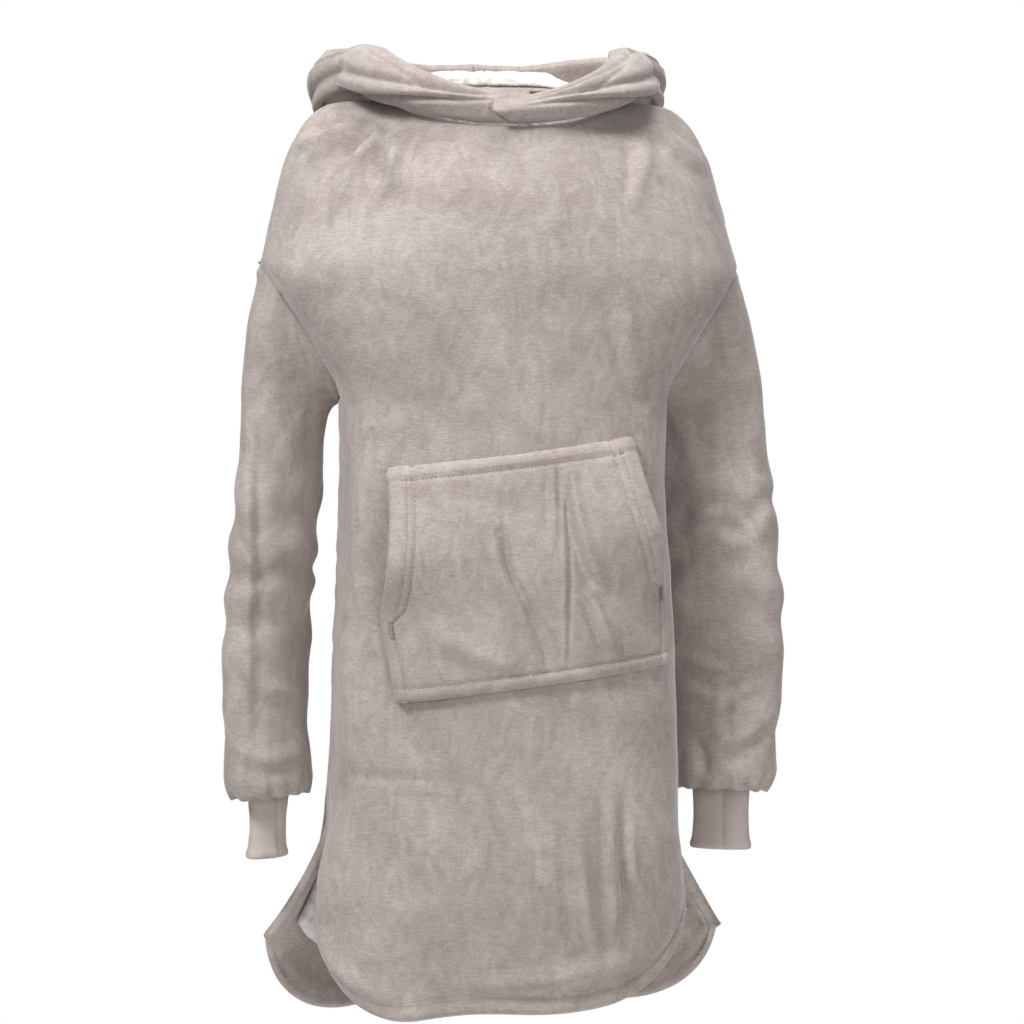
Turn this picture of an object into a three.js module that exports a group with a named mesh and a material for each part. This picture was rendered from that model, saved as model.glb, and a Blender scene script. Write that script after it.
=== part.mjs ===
// Hooded pull-over blanket robe: two body panels, set-in sleeves with knit cuffs, a two-piece hood
// lying open down the back, a kangaroo pocket, and a full pile lining behind every outer piece.
// Millimetres. +Z up, the front faces -Y, +X is to the right of someone who looks at the front.
// The origin is the middle of the neck on the shoulder line.
import * as THREE from "three";

// ---------------------------------------------------------------- driving dimensions
const CLOTH = 4; // outer flannel, with its pile
const PILE = 6; // lining fleece
const SEAM_GAP = 0.4; // between two pieces that are sewn edge to edge
const LAYER_GAP = 0.7; // between the outer cloth and its lining
const LINING_GAP = 1.2; // between two lining pieces, whose seam allowances turn in

const HEM_Z = -890; // front hem at the middle
const BACK_DROP = 31; // how much lower the back hem hangs
const SLIT_TOP_Z = -715; // top of the side slits
const PIT_Z = -300; // underarm point
const NOTCH_Z = -165; // shoulder end of the armhole seam
const CHEST_HALF = 162; // half width of the body under the arms
const SKIRT_HALF = 174; // half width at the slit tops
const HEM_HALF = 186; // half width of the front hem
const BACK_HEM_HALF = 232; // half width of the flared back hem
const FRONT_DEPTH = 133; // how far the chest stands in front of the origin
const BACK_DEPTH = 106; // how far the back stands behind it
const SIDE_Y = -40; // the body is widest this far forward of the origin
const SEAM_ANGLE = 105; // degrees from the front round to the side seam
const HEM_CORNER = 92; // radius of the rounded hem corners
const SHOULDER_HALF = 238; // half width over the dropped shoulders
const ARMHOLE_HALF_DEPTH = 42; // half thickness of the armhole ring, front to back

const NECK_HALF = 104; // half width of the neckline seam
const NECK_FRONT = 95; // how far the neckline stands in front of the origin
const NECK_BACK = 71; // and behind it
const NECK_DIP = 30; // how low the neckline falls at the front
const NECK_RISE = 11; // how high it stands at the sides and back

const SLEEVE_WIDE = 58; // half width of the flattened sleeve
const SLEEVE_THIN = 30; // half thickness of the flattened sleeve
const SLEEVE_X = 230; // middle of the sleeve at its cuff
const SLEEVE_END_Z = -684; // cuff seam
const SLEEVE_ROUND = 22; // height over which the sleeve closes in to its cuff
const PIT_CLEAR = 8; // how far the sleeve stands out from the body below the underarm
const LEFT_TURN = 50; // degrees the flat of the left sleeve turns away from the front
const RIGHT_TURN = 28; // and of the right sleeve
const CUFF_WIDE = 31; // half width of the flattened cuff
const CUFF_THIN = 15; // half thickness of the flattened cuff
const CUFF_LENGTH = 70;
const CUFF_CLOTH = 4;
const CUFF_GAP = 0.9; // between the cuff and the lining that it is sewn into
const CUFF_TUCK = 6; // seam allowance of the cuff inside the sleeve's mouth

const HOOD_BAG = 255; // how far the hood hangs down the back below the neckline
const HOOD_STAND = 26; // how far it stands above the neckline before it falls over
const HOOD_ROLL = 44; // how far its rolls spread out over the shoulders
const HOOD_RIM_Z = 44; // height of the rim beside the neck
const HOOD_EASE = 0.6; // how much looser the hood's lining lies in its bends

const POCKET_MID_Z = -465; // middle of the pocket
const POCKET_TALL = 222;
const POCKET_TOP_HALF = 122;
const POCKET_SIDE_HALF = 146;
const POCKET_TILT = 7; // degrees
const POCKET_SHIFT = 8; // off the body's middle, towards +X
const POCKET_CLOTH = 5;
const POCKET_SEAT = 1.2; // how far its sewn edges stand off the body
const POCKET_SWELL = 9; // hand room at the pocket's middle
const POCKET_GAPE = 27; // how far the hand openings stand off the body
const POCKET_SEWN_SHARE = 0.36; // share of the height whose sides are sewn down

const TAPE_THICK = 1.2;
const TAPE_WIDE = 12;
const TAPE_GAP = 1.4; // the tape stands this far off the curved lining
const LOOP_WIDE = 64;
const LOOP_TALL = 34;
const LABEL_WIDE = 32;
const LABEL_TALL = 52;
const LABEL_THICK = 0.8;
const TACK_LONG = 14;
const TACK_THICK = 2.2;
const TACK_GAP = 0.9;

// ---------------------------------------------------------------- what follows from them
const LINING_DEPTH = CLOTH + LAYER_GAP; // where a lining's outer side lies, below the outer cloth
const INSIDE = LINING_DEPTH + PILE; // inner side of the lining
const CUFF_SEAT = INSIDE + CUFF_GAP; // a sleeve's mouth stands this far outside its cuff

// ---------------------------------------------------------------- stations along a panel, 0 to 1
const T_SLIT = 0.2;
const T_PIT = 0.6;
const T_NOTCH = 0.76;
const ROUND = 0.8; // exponent that squares the front's cross-section a little
const BACK_ROUND = 1; // and the back's, a plain ellipse

// ---------------------------------------------------------------- small tools
const V = (x, y, z) => new THREE.Vector3(x, y, z);
const rad = THREE.MathUtils.degToRad;
const mix = THREE.MathUtils.lerp;
const clamp = THREE.MathUtils.clamp;
const ease = (x) => THREE.MathUtils.smoothstep(x, 0, 1);
const part = (x, a, b) => clamp((x - a) / (b - a), 0, 1);

function power(x, p) {
  return Math.sign(x) * Math.abs(x) ** p;
}

// A closed body from its outer and inner grids, rows by columns. A tube closes on its first column.
function shellMesh(name, outer, inner, tube, slot) {
  const rows = outer.length;
  const cols = outer[0].length;
  const points = [...outer.flat(), ...inner.flat()];
  const skin = rows * cols;
  const faces = [];
  const at = (r, c, side) => side * skin + r * cols + (tube ? c % cols : c);
  const quad = (a, b, c, d) => faces.push(a, b, c, a, c, d);
  const spans = tube ? cols : cols - 1;
  for (let r = 0; r < rows - 1; r += 1) {
    for (let c = 0; c < spans; c += 1) {
      quad(at(r, c, 0), at(r, c + 1, 0), at(r + 1, c + 1, 0), at(r + 1, c, 0));
      quad(at(r, c, 1), at(r + 1, c, 1), at(r + 1, c + 1, 1), at(r, c + 1, 1));
    }
  }
  for (let c = 0; c < spans; c += 1) {
    quad(at(0, c, 0), at(0, c, 1), at(0, c + 1, 1), at(0, c + 1, 0));
    quad(at(rows - 1, c, 0), at(rows - 1, c + 1, 0), at(rows - 1, c + 1, 1), at(rows - 1, c, 1));
  }
  if (!tube) {
    for (let r = 0; r < rows - 1; r += 1) {
      quad(at(r, 0, 0), at(r + 1, 0, 0), at(r + 1, 0, 1), at(r, 0, 1));
      quad(at(r, cols - 1, 0), at(r, cols - 1, 1), at(r + 1, cols - 1, 1), at(r + 1, cols - 1, 0));
    }
  }
  const geometry = new THREE.BufferGeometry().setFromPoints(points);
  geometry.setIndex(signedVolume(points, faces) < 0 ? faces.reverse() : faces);
  return new THREE.Mesh(named(geometry, name), MATERIALS[slot]);
}

function named(geometry, name) {
  geometry.name = name;
  return geometry;
}

function signedVolume(points, faces) {
  let sum = 0;
  for (let i = 0; i < faces.length; i += 3) {
    const [a, b, c] = [points[faces[i]], points[faces[i + 1]], points[faces[i + 2]]];
    sum += a.dot(b.clone().cross(c));
  }
  return sum;
}

// Draws the edge of a grid back by half the seam gap, so that two sewn pieces don't touch.
function drawBack(grid, sides, gap = SEAM_GAP) {
  const pull = (edge, next) => edge.add(next.clone().sub(edge).setLength(gap / 2));
  const last = grid.length - 1;
  if (sides.ends) grid[0].forEach((p, c) => pull(p, grid[1][c]));
  if (sides.ends) grid[last].forEach((p, c) => pull(p, grid[last - 1][c]));
  if (sides.flanks) grid.forEach((row) => pull(row[0], row[1]));
  if (sides.flanks) grid.forEach((row) => pull(row[row.length - 1], row[row.length - 2]));
  return grid;
}

// ---------------------------------------------------------------- armhole ring, shared by three pieces
// turn 0 is the shoulder notch, 90 the front, 180 the underarm, 270 the back.
function ringMiddle(side) {
  const pit = pitPoint(side);
  return V((side * SHOULDER_HALF + pit.x) / 2, -6, (NOTCH_Z + PIT_Z) / 2);
}

function pitPoint(side) {
  const turn = rad(SEAM_ANGLE);
  const y = SIDE_Y - (FRONT_DEPTH + SIDE_Y) * power(Math.cos(turn), ROUND);
  return V(side * CHEST_HALF * Math.sin(turn) ** ROUND, y, PIT_Z);
}

function ringPoint(side, turn) {
  const middle = ringMiddle(side);
  const along = V(side * SHOULDER_HALF, -8, NOTCH_Z).sub(middle);
  const down = pitPoint(side).sub(middle);
  const reach = Math.cos(turn) > 0 ? along : down.negate();
  const thick = V(side * -3, -ARMHOLE_HALF_DEPTH, -4);
  return middle.addScaledVector(reach, Math.cos(turn)).addScaledVector(thick, Math.sin(turn));
}

function ringNormal(side, turn) {
  return ringPoint(side, turn).sub(ringMiddle(side)).normalize();
}

// ---------------------------------------------------------------- neckline, shared by body and hood
// angle 0 is the middle of the front, PI the middle of the back.
function neckPoint(side, angle) {
  const front = ((1 + Math.cos(angle)) / 2) ** 1.5;
  const mid = (NECK_BACK - NECK_FRONT) / 2;
  const half = (NECK_BACK + NECK_FRONT) / 2;
  return V(
    side * NECK_HALF * Math.sin(angle),
    mid - half * Math.cos(angle),
    mix(NECK_RISE, -NECK_DIP, front),
  );
}

function neckNormal(side, angle) {
  return V(side * Math.sin(angle), -Math.cos(angle), 0.25).normalize();
}

const SHOULDER_ANGLE = rad(97); // where the shoulder seam meets the neckline
const YOKE_BOW = 9; // how far the cloth above the armholes bows out between neckline and chest

// The angle on the neckline of a panel's column s.
function neckAngle(front, s) {
  const fromSeam = Math.abs(s);
  return front ? SHOULDER_ANGLE * fromSeam : Math.PI - (Math.PI - SHOULDER_ANGLE) * fromSeam;
}

// The shoulder seam, from the armhole notch at 0 up and over to the neckline at 1.
function shoulderSeam(side, k) {
  const neck = neckPoint(1, SHOULDER_ANGLE);
  const seam = new THREE.CatmullRomCurve3([
    V(SHOULDER_HALF, -8, NOTCH_Z),
    V(SHOULDER_HALF - 11, -6, NOTCH_Z * 0.66),
    V(SHOULDER_HALF - 24, -4, NOTCH_Z * 0.36),
    V(SHOULDER_HALF - 44, -2, NOTCH_Z * 0.13),
    V(mix(SHOULDER_HALF, NECK_HALF, 0.55), 0, -3),
    neck,
  ]);
  const p = seam.getPointAt(k);
  return V(side * p.x, p.y, p.z);
}

// ---------------------------------------------------------------- body panels
// A panel runs from its hem, t = 0, to the neckline, t = 1, and across from s = -1 to s = 1.
function crossRow(s, edge, middle, seamAngle) {
  const turn = Math.abs(s) * seamAngle;
  const round = middle.y < 0 ? ROUND : BACK_ROUND;
  const wide = Math.sin(turn) ** round / Math.sin(seamAngle) ** round;
  const deep = power(Math.cos(turn), round);
  const endDeep = power(Math.cos(seamAngle), round);
  const share = (deep - endDeep) / (1 - endDeep);
  return V(edge.x * wide, mix(edge.y, middle.y, share), mix(middle.z, edge.z, Math.abs(s) ** 3));
}

function hemHeight(x, half, low) {
  const inCorner = clamp((Math.abs(x) - (half - HEM_CORNER)) / HEM_CORNER, 0, 1);
  return low + HEM_CORNER * (1 - Math.sqrt(1 - inCorner ** 2));
}

function lowerRow(front, s, t) {
  const side = Math.sign(s) || 1;
  const slit = part(t, 0, T_SLIT);
  const body = part(t, T_SLIT, T_PIT);
  const half = mix(SKIRT_HALF, CHEST_HALF, ease(body));
  const seam = Math.sin(rad(SEAM_ANGLE)) ** ROUND;
  const hemHalf = front ? HEM_HALF : BACK_HEM_HALF;
  const flare = front ? ease(1 - slit) : (1 - slit) ** 1.3;
  const pitY = pitPoint(1).y;
  const edge = V(side * mix(half * seam, hemHalf, flare), mix(pitY, front ? -34 : 26, flare), 0);
  const middle = V(0, front ? -FRONT_DEPTH - 4 * (1 - body) : BACK_DEPTH + 12 * (1 - body), 0);
  const angle = front ? mix(rad(SEAM_ANGLE), rad(90), flare) : rad(90);
  const p = crossRow(s, edge, middle, angle);
  const low = hemHeight(p.x, Math.abs(edge.x), front ? HEM_Z : HEM_Z - BACK_DROP);
  p.z = t < T_SLIT ? mix(low, SLIT_TOP_Z, slit) : mix(SLIT_TOP_Z, PIT_Z, body);
  return p;
}

function armholeRow(front, s, t) {
  const side = Math.sign(s) || 1;
  const k = part(t, T_PIT, T_NOTCH);
  const turn = front ? mix(Math.PI, 0, k) : mix(Math.PI, 2 * Math.PI, k);
  const edge = ringPoint(side, turn);
  const middle = V(0, front ? -FRONT_DEPTH : BACK_DEPTH, mix(PIT_Z, NOTCH_Z, k));
  const angle = front ? mix(rad(SEAM_ANGLE), rad(90), ease(k * 2)) : rad(90);
  return crossRow(s, edge, middle, angle);
}

function yokeRow(front, s, t) {
  const side = Math.sign(s) || 1;
  const k = part(t, T_NOTCH, 1);
  const low = armholeRow(front, s, T_NOTCH);
  const high = neckPoint(side, neckAngle(front, s));
  const p = low.clone().lerp(high, k);
  const seam = shoulderSeam(side, k);
  const straight = shoulderSeam(side, 0).lerp(shoulderSeam(side, 1), k);
  p.addScaledVector(seam.sub(straight), Math.abs(s) ** 2.2);
  p.y += (front ? -YOKE_BOW : YOKE_BOW) * Math.sin(Math.PI * k) * (1 - s * s);
  return p;
}

function panelPoint(front, s, t) {
  if (t <= T_PIT) return lowerRow(front, s, t);
  return t <= T_NOTCH ? armholeRow(front, s, t) : yokeRow(front, s, t);
}

function rawNormal(front, s, t) {
  const step = 0.02;
  const s0 = clamp(s - step, -1, 1);
  const s1 = clamp(s + step, -1, 1);
  const t0 = clamp(t - step, 0, 1);
  const t1 = clamp(t + step, 0, 1);
  const across = panelPoint(front, s1, t).sub(panelPoint(front, s0, t));
  const up = panelPoint(front, s, t1).sub(panelPoint(front, s, t0));
  const n = across.cross(up).normalize();
  return front ? n : n.negate();
}

function panelNormal(front, s, t) {
  const side = Math.sign(s) || 1;
  if (t > 1 - 1e-6) return neckNormal(side, neckAngle(front, s));
  if (Math.abs(s) < 1 - 1e-6 || t < T_SLIT) return rawNormal(front, s, t);
  if (t >= T_PIT - 1e-6 && t <= T_NOTCH + 1e-6) {
    const k = part(t, T_PIT, T_NOTCH);
    return ringNormal(side, front ? mix(Math.PI, 0, k) : mix(Math.PI, 2 * Math.PI, k));
  }
  return rawNormal(true, s, t).add(rawNormal(false, s, t)).normalize();
}

function panelGrid(front, depth, across, up) {
  return up.map((t) =>
    across.map((s) => panelPoint(front, s, t).addScaledVector(panelNormal(front, s, t), -depth)),
  );
}

const steps = (a, b, n) => Array.from({ length: n + 1 }, (_, i) => mix(a, b, i / n));
const HALF_ACROSS = 6; // columns in each half of a panel, shared with the hood
const RING_HALF = 6; // rows along each half of the armhole, shared with the sleeve
const ACROSS = steps(-1, 1, 2 * HALF_ACROSS);
const UP = [
  ...steps(0, T_SLIT, 4),
  ...steps(T_SLIT, T_PIT, 5).slice(1),
  ...steps(T_PIT, T_NOTCH, RING_HALF).slice(1),
  ...steps(T_NOTCH, 1, 5).slice(1),
];

function bodyPanel(name, front, depth, thick, slot) {
  const whole = { ends: true, flanks: true };
  const gap = depth ? LINING_GAP : SEAM_GAP;
  const skin = (d) => drawBack(panelGrid(front, d, ACROSS, UP), whole, gap);
  return shellMesh(name, skin(depth), skin(depth + thick), false, slot);
}

// ---------------------------------------------------------------- sleeves and cuffs
// v runs from the armhole ring, 0, to the cuff seam, 1. turn is measured as on the ring.
const SLEEVE_SIDES = 2 * RING_HALF;
const V_BLOUSE = 0.9; // below this the sleeve turns in to its cuff
const RING_REACH = 0.36; // share of the sleeve's length over which the armhole's shape fades out
const BLOUSE_DRAW = 0.86; // the sleeve narrows to this share of its width just above the cuff
const LENGTH_SLACK = 0.06; // and is this much fuller at half its length

function flatOval(side, x, y, z, wide, thin, flatTurn, turn) {
  const along = V(side * Math.cos(flatTurn), -Math.sin(flatTurn), 0);
  const front = V(-side * Math.sin(flatTurn), -Math.cos(flatTurn), 0);
  const p = V(side * x, y, z);
  return p.addScaledVector(along, wide * Math.cos(turn)).addScaledVector(front, thin * Math.sin(turn));
}

function sleevePoint(side, v, turn) {
  const flatTurn = rad(side < 0 ? LEFT_TURN : RIGHT_TURN);
  const straight = part(v, 0, V_BLOUSE);
  const tuck = part(v, V_BLOUSE, 1);
  const lowZ = SLEEVE_END_Z + SLEEVE_ROUND;
  const z = mix(mix((NOTCH_Z + PIT_Z) / 2, lowZ, straight), SLEEVE_END_Z, tuck);
  const tilt = ((NOTCH_Z - PIT_Z) / 2) * Math.max(0, 1 - straight * 2.4) ** 1.6;
  const pitRoom = PIT_CLEAR * Math.sin(Math.PI * part(straight, 0, 0.3));
  const x = mix(SHOULDER_HALF - 26, SLEEVE_X, ease(straight)) + pitRoom;
  const slack = 1 + LENGTH_SLACK * Math.sin(Math.PI * straight);
  const drawn = mix(1, BLOUSE_DRAW, ease(part(straight, 0.85, 1)));
  const wide = mix(SLEEVE_WIDE * slack * drawn, CUFF_WIDE + CUFF_SEAT, ease(tuck));
  const thin = mix(SLEEVE_THIN * slack, CUFF_THIN + CUFF_SEAT, ease(tuck));
  const tube = flatOval(side, x, 0, z + tilt * Math.cos(turn), wide, thin, flatTurn, turn);
  const underarm = (1 - Math.cos(turn)) / 2;
  const start = ringPoint(side, turn).add(V(side * 5 * SEAM_GAP * underarm, 0, -SEAM_GAP));
  return start.lerp(tube, ease(part(straight, 0, RING_REACH)));
}

function sleeveNormal(side, v, turn) {
  if (v < 1e-6) return ringNormal(side, turn);
  if (v > 1 - 1e-6) return cuffNormal(side, turn);
  const h = 0.02;
  const round = sleevePoint(side, v, turn + h).sub(sleevePoint(side, v, turn - h));
  const down = sleevePoint(side, Math.min(1, v + h), turn).sub(sleevePoint(side, v - h / 2, turn));
  const n = round.cross(down).normalize();
  return side > 0 ? n : n.negate();
}

function cuffNormal(side, turn) {
  const flatTurn = rad(side < 0 ? LEFT_TURN : RIGHT_TURN);
  return flatOval(side, 0, 0, 0, CUFF_THIN, CUFF_WIDE, flatTurn, turn).normalize();
}

const TURNS = Array.from({ length: SLEEVE_SIDES }, (_, i) => (2 * Math.PI * i) / SLEEVE_SIDES);
const DOWN = [...steps(0, V_BLOUSE, 11), ...steps(V_BLOUSE, 1, 3).slice(1)];

function sleeveShell(name, side, depth, thick, slot) {
  const at = (v, u, d) => sleevePoint(side, v, u).addScaledVector(sleeveNormal(side, v, u), -d);
  const gap = depth ? LINING_GAP : 2 * SEAM_GAP;
  const skin = (d) => drawBack(DOWN.map((v) => TURNS.map((u) => at(v, u, d))), { ends: true }, gap);
  return shellMesh(name, skin(depth), skin(depth + thick), true, slot);
}

function cuff(name, side) {
  const flatTurn = rad(side < 0 ? LEFT_TURN : RIGHT_TURN);
  const layer = (k, d) =>
    TURNS.map((u) => {
      const z = SLEEVE_END_Z + CUFF_TUCK - k * (CUFF_LENGTH + CUFF_TUCK);
      const slim = 1 - 0.06 * Math.sin(Math.PI * k);
      const p = flatOval(side, SLEEVE_X, 0, z, CUFF_WIDE * slim, CUFF_THIN * slim, flatTurn, u);
      return p.addScaledVector(cuffNormal(side, u), -d);
    });
  const skin = (d) => steps(0, 1, 3).map((k) => layer(k, d));
  return shellMesh(name, skin(0), skin(CUFF_CLOTH), true, "knit");
}

// ---------------------------------------------------------------- hood, hanging open down the back
// angle runs round the neckline; w runs from the neckline seam, 0, round the bag to the rim, 1.
// Profiles of the hood at the front, over the shoulder and at the back, as [out, up] from the seam.
const HOOD_FRONT = [[0, 0], [3, 4], [7, 9], [9, 14], [10, 19], [8, 24], [5, 28], [2, 31]];
const HOOD_SIDE = [
  [0, 0],
  [16, 8],
  [34, 7],
  [HOOD_ROLL + 7, 11],
  [HOOD_ROLL + 16, 26],
  [HOOD_ROLL + 7, 45],
  [28, 54],
  [8, 52],
];
const HOOD_BACK = [
  [0, 0],
  [14, HOOD_STAND],
  [42, -HOOD_BAG * 0.25],
  [50, -HOOD_BAG * 0.76],
  [62, -HOOD_BAG * 0.97],
  [HOOD_ROLL + 44, -HOOD_BAG * 0.97],
  [HOOD_ROLL + 55, -HOOD_BAG * 0.7],
  [HOOD_ROLL + 46, HOOD_RIM_Z - NECK_RISE],
];
const HOOD_CLEAR = 14; // how far the hood hangs behind the back panel

function hoodPoint(side, angle, w) {
  const seam = neckPoint(side, angle);
  const front = Math.cos(Math.min(angle, Math.PI / 2)) ** 2;
  const back = ease(part(angle, rad(92), rad(160)));
  const lean = mix(angle, Math.PI, 0.8 * ease(part(angle, rad(93), rad(128))));
  const out = V(side * Math.sin(lean), -Math.cos(lean), 0);
  const reach = (BACK_DEPTH + HOOD_CLEAR - seam.y) / Math.max(0.2, out.y) - 42;
  const push = Math.max(0, reach) * ease(part(angle, rad(97), rad(125)));
  const knots = HOOD_BACK.map(([x, z], i) => {
    const [fx, fz] = HOOD_FRONT[i];
    const [sx, sz] = HOOD_SIDE[i];
    const far = ease(clamp(i / 2, 0, 1)) * push;
    return V(mix(mix(sx, x, back ** 0.4), fx, front) + far, 0, mix(mix(sz, z, back), fz, front));
  });
  const q = softCurve(knots, w);
  return seam.addScaledVector(out, q.x).add(V(0, 0, q.z));
}

// A uniform cubic B-spline from the first knot to the last: it rounds off every knot between them.
function softCurve(knots, w) {
  const last = knots.length - 1;
  const beyond = (end, next) => end.clone().multiplyScalar(2).sub(next);
  const row = [beyond(knots[0], knots[1]), ...knots, beyond(knots[last], knots[last - 1])];
  const i = Math.min(Math.floor(w * last), last - 1);
  const u = w * last - i;
  const weights = [(1 - u) ** 3, 3 * u ** 3 - 6 * u ** 2 + 4, -3 * u ** 3 + 3 * u ** 2 + 3 * u + 1, u ** 3];
  return weights.reduce((sum, k, j) => sum.addScaledVector(row[i + j], k / 6), V(0, 0, 0));
}

function hoodNormal(side, angle, w) {
  if (w < 1e-6) return neckNormal(side, angle);
  const h = 0.01;
  const a0 = Math.max(0, angle - h);
  const a1 = Math.min(Math.PI, angle + h);
  const round = hoodPoint(side, a1, w).sub(hoodPoint(side, a0, w));
  const along = hoodPoint(side, angle, Math.min(1, w + h)).sub(hoodPoint(side, angle, w - h));
  const n = round.cross(along).normalize();
  if (angle < 1e-6 || angle > Math.PI - 1e-6) n.setX(0).normalize();
  return side > 0 ? n : n.negate();
}

const HOOD_ANGLES = [
  ...steps(0, SHOULDER_ANGLE, HALF_ACROSS),
  ...steps(SHOULDER_ANGLE, Math.PI, HALF_ACROSS).slice(1),
];
const HOOD_WAYS = steps(0, 1, 11);

function hoodShell(name, side, depth, thick, slot) {
  const at = (a, w, d) => hoodPoint(side, a, w).addScaledVector(hoodNormal(side, a, w), -d);
  const whole = { ends: true, flanks: true };
  const gap = depth ? LINING_GAP : SEAM_GAP;
  const skin = (d) => drawBack(HOOD_ANGLES.map((a) => HOOD_WAYS.map((w) => at(a, w, d))), whole, gap);
  return shellMesh(name, skin(depth), skin(depth + thick), false, slot);
}

// ---------------------------------------------------------------- kangaroo pocket
// p runs across, -1 to 1, and q up, 0 to 1.
function pocketOutline(p, q) {
  const sewn = part(q, 0, POCKET_SEWN_SHARE);
  const hand = part(q, POCKET_SEWN_SHARE, 1);
  const low = mix(POCKET_SIDE_HALF - 6, POCKET_SIDE_HALF, sewn);
  const half = mix(low, POCKET_TOP_HALF, Math.sin((hand * Math.PI) / 2) ** 1.1);
  const x = p * half;
  const z = (q - 0.5) * POCKET_TALL;
  const tilt = rad(POCKET_TILT);
  return [
    POCKET_SHIFT + x * Math.cos(tilt) - z * Math.sin(tilt),
    POCKET_MID_Z + z * Math.cos(tilt) + x * Math.sin(tilt),
  ];
}

// The body surface at a distance x round the front and a height z.
function frontAt(x, z) {
  const t = mix(T_SLIT, T_PIT, (z - SLIT_TOP_Z) / (PIT_Z - SLIT_TOP_Z));
  let s = 0;
  let walked = 0;
  let last = panelPoint(true, 0, t);
  const step = 0.02 * Math.sign(x || 1);
  while (walked < Math.abs(x) && Math.abs(s) < 0.97) {
    s += step;
    const next = panelPoint(true, s, t);
    walked += next.distanceTo(last);
    last = next;
  }
  const spare = (walked - Math.abs(x)) / Math.max(1e-9, panelPoint(true, s - step, t).distanceTo(last));
  const at = walked > Math.abs(x) ? s - step * spare : s;
  return [panelPoint(true, at, t), rawNormal(true, at, t)];
}

// The cloth swells off the body in the middle, and its hand openings gape straight forward.
function pocketPoint(p, q, lift) {
  const [x, z] = pocketOutline(p, q);
  const [base, n] = frontAt(x, z);
  const across = Math.abs(p);
  const upDown = Math.sin(Math.PI * clamp(q, 0, 1)) ** 0.6;
  const openAbove = ease(part(q, POCKET_SEWN_SHARE * 0.9, 0.62));
  const swell = POCKET_SWELL * (1 - across ** 4 * (1 - openAbove));
  const gape = POCKET_GAPE * openAbove * across ** 1.4;
  base.addScaledVector(n, POCKET_SEAT + upDown * swell + lift);
  return base.add(V(0, -upDown * gape, 0));
}

function kangarooPocket() {
  const rows = steps(0, 1, 8);
  const cols = steps(-1, 1, 16);
  const grid = (lift) => rows.map((q) => cols.map((p) => pocketPoint(p, q, lift)));
  return shellMesh("kangaroo_pocket", grid(POCKET_CLOTH), grid(0), false, "flannel");
}

// Dense bar of thread over the foot of each hand opening, lying on the pocket cloth.
function pocketTack(name, side) {
  const q = POCKET_SEWN_SHARE - 0.05;
  const rows = [q - TACK_LONG / POCKET_TALL / 2, q + TACK_LONG / POCKET_TALL / 2];
  const cols = [0.94, 0.965].map((p) => p * side);
  const grid = (lift) => rows.map((b) => cols.map((a) => pocketPoint(a, b, POCKET_CLOTH + lift)));
  return shellMesh(name, grid(TACK_THICK), grid(TACK_GAP), false, "thread");
}

// ---------------------------------------------------------------- tape, loop and labels inside the neck
const LAST_ROW = UP[UP.length - 2]; // the panel's last row below the neckline

// A point on the inner side of the back lining, down from the neckline by the given length.
function insideNeck(s, down, depth) {
  const high = panelPoint(false, s, 1).addScaledVector(panelNormal(false, s, 1), -depth);
  const low = panelPoint(false, s, LAST_ROW).addScaledVector(panelNormal(false, s, LAST_ROW), -depth);
  return high.add(low.sub(high).setLength(down));
}

function neckTape() {
  const cols = ACROSS.slice(2, -2);
  const levels = [TAPE_WIDE + SEAM_GAP, SEAM_GAP];
  const grid = (d) => levels.map((down) => cols.map((s) => insideNeck(s, down, d)));
  const depth = INSIDE + TAPE_GAP;
  return shellMesh("neck_tape", grid(depth), grid(depth + TAPE_THICK), false, "tape");
}

// The plane that the loop and the size label hang in, clear of the curved tape across the loop's width.
function tapeFace() {
  const depth = INSIDE + TAPE_THICK + LAYER_GAP;
  const middle = insideNeck(0, SEAM_GAP, depth);
  const beside = insideNeck(ACROSS[HALF_ACROSS + 2], SEAM_GAP, depth);
  const share = clamp(LOOP_WIDE / 2 / beside.x, 0, 1);
  return middle.lerp(beside, share).setX(0);
}

function hangerLoop() {
  const face = tapeFace();
  const outline = new THREE.Shape();
  outline.moveTo(-LOOP_WIDE / 2, 0);
  outline.lineTo(LOOP_WIDE / 2, 0);
  outline.lineTo(LOOP_WIDE / 2, LOOP_TALL);
  outline.lineTo(-LOOP_WIDE / 2, LOOP_TALL);
  const hole = new THREE.Path();
  const band = TAPE_WIDE / 2;
  hole.moveTo(-LOOP_WIDE / 2 + band, band);
  hole.lineTo(-LOOP_WIDE / 2 + band, LOOP_TALL - band);
  hole.lineTo(LOOP_WIDE / 2 - band, LOOP_TALL - band);
  hole.lineTo(LOOP_WIDE / 2 - band, band);
  outline.holes.push(hole);
  const geometry = new THREE.ExtrudeGeometry(outline, { depth: TAPE_THICK, bevelEnabled: false });
  const loop = new THREE.Mesh(named(geometry, "hanger_loop"), MATERIALS.tape);
  loop.rotation.x = Math.PI / 2;
  loop.position.set(0, face.y, face.z - LOOP_TALL);
  return loop;
}

function label(name, at, size) {
  const tag = new THREE.Mesh(named(new THREE.BoxGeometry(...size), name), MATERIALS.label);
  tag.position.copy(at);
  return tag;
}

// In front of the loop, at the middle of the back of the neck.
function sizeLabel() {
  const tall = LABEL_TALL * 0.5;
  const at = tapeFace().sub(V(0, TAPE_THICK + LAYER_GAP + LABEL_THICK / 2, tall / 2));
  return label("size_label", at, [LABEL_WIDE * 0.8, LABEL_THICK, tall]);
}

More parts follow.
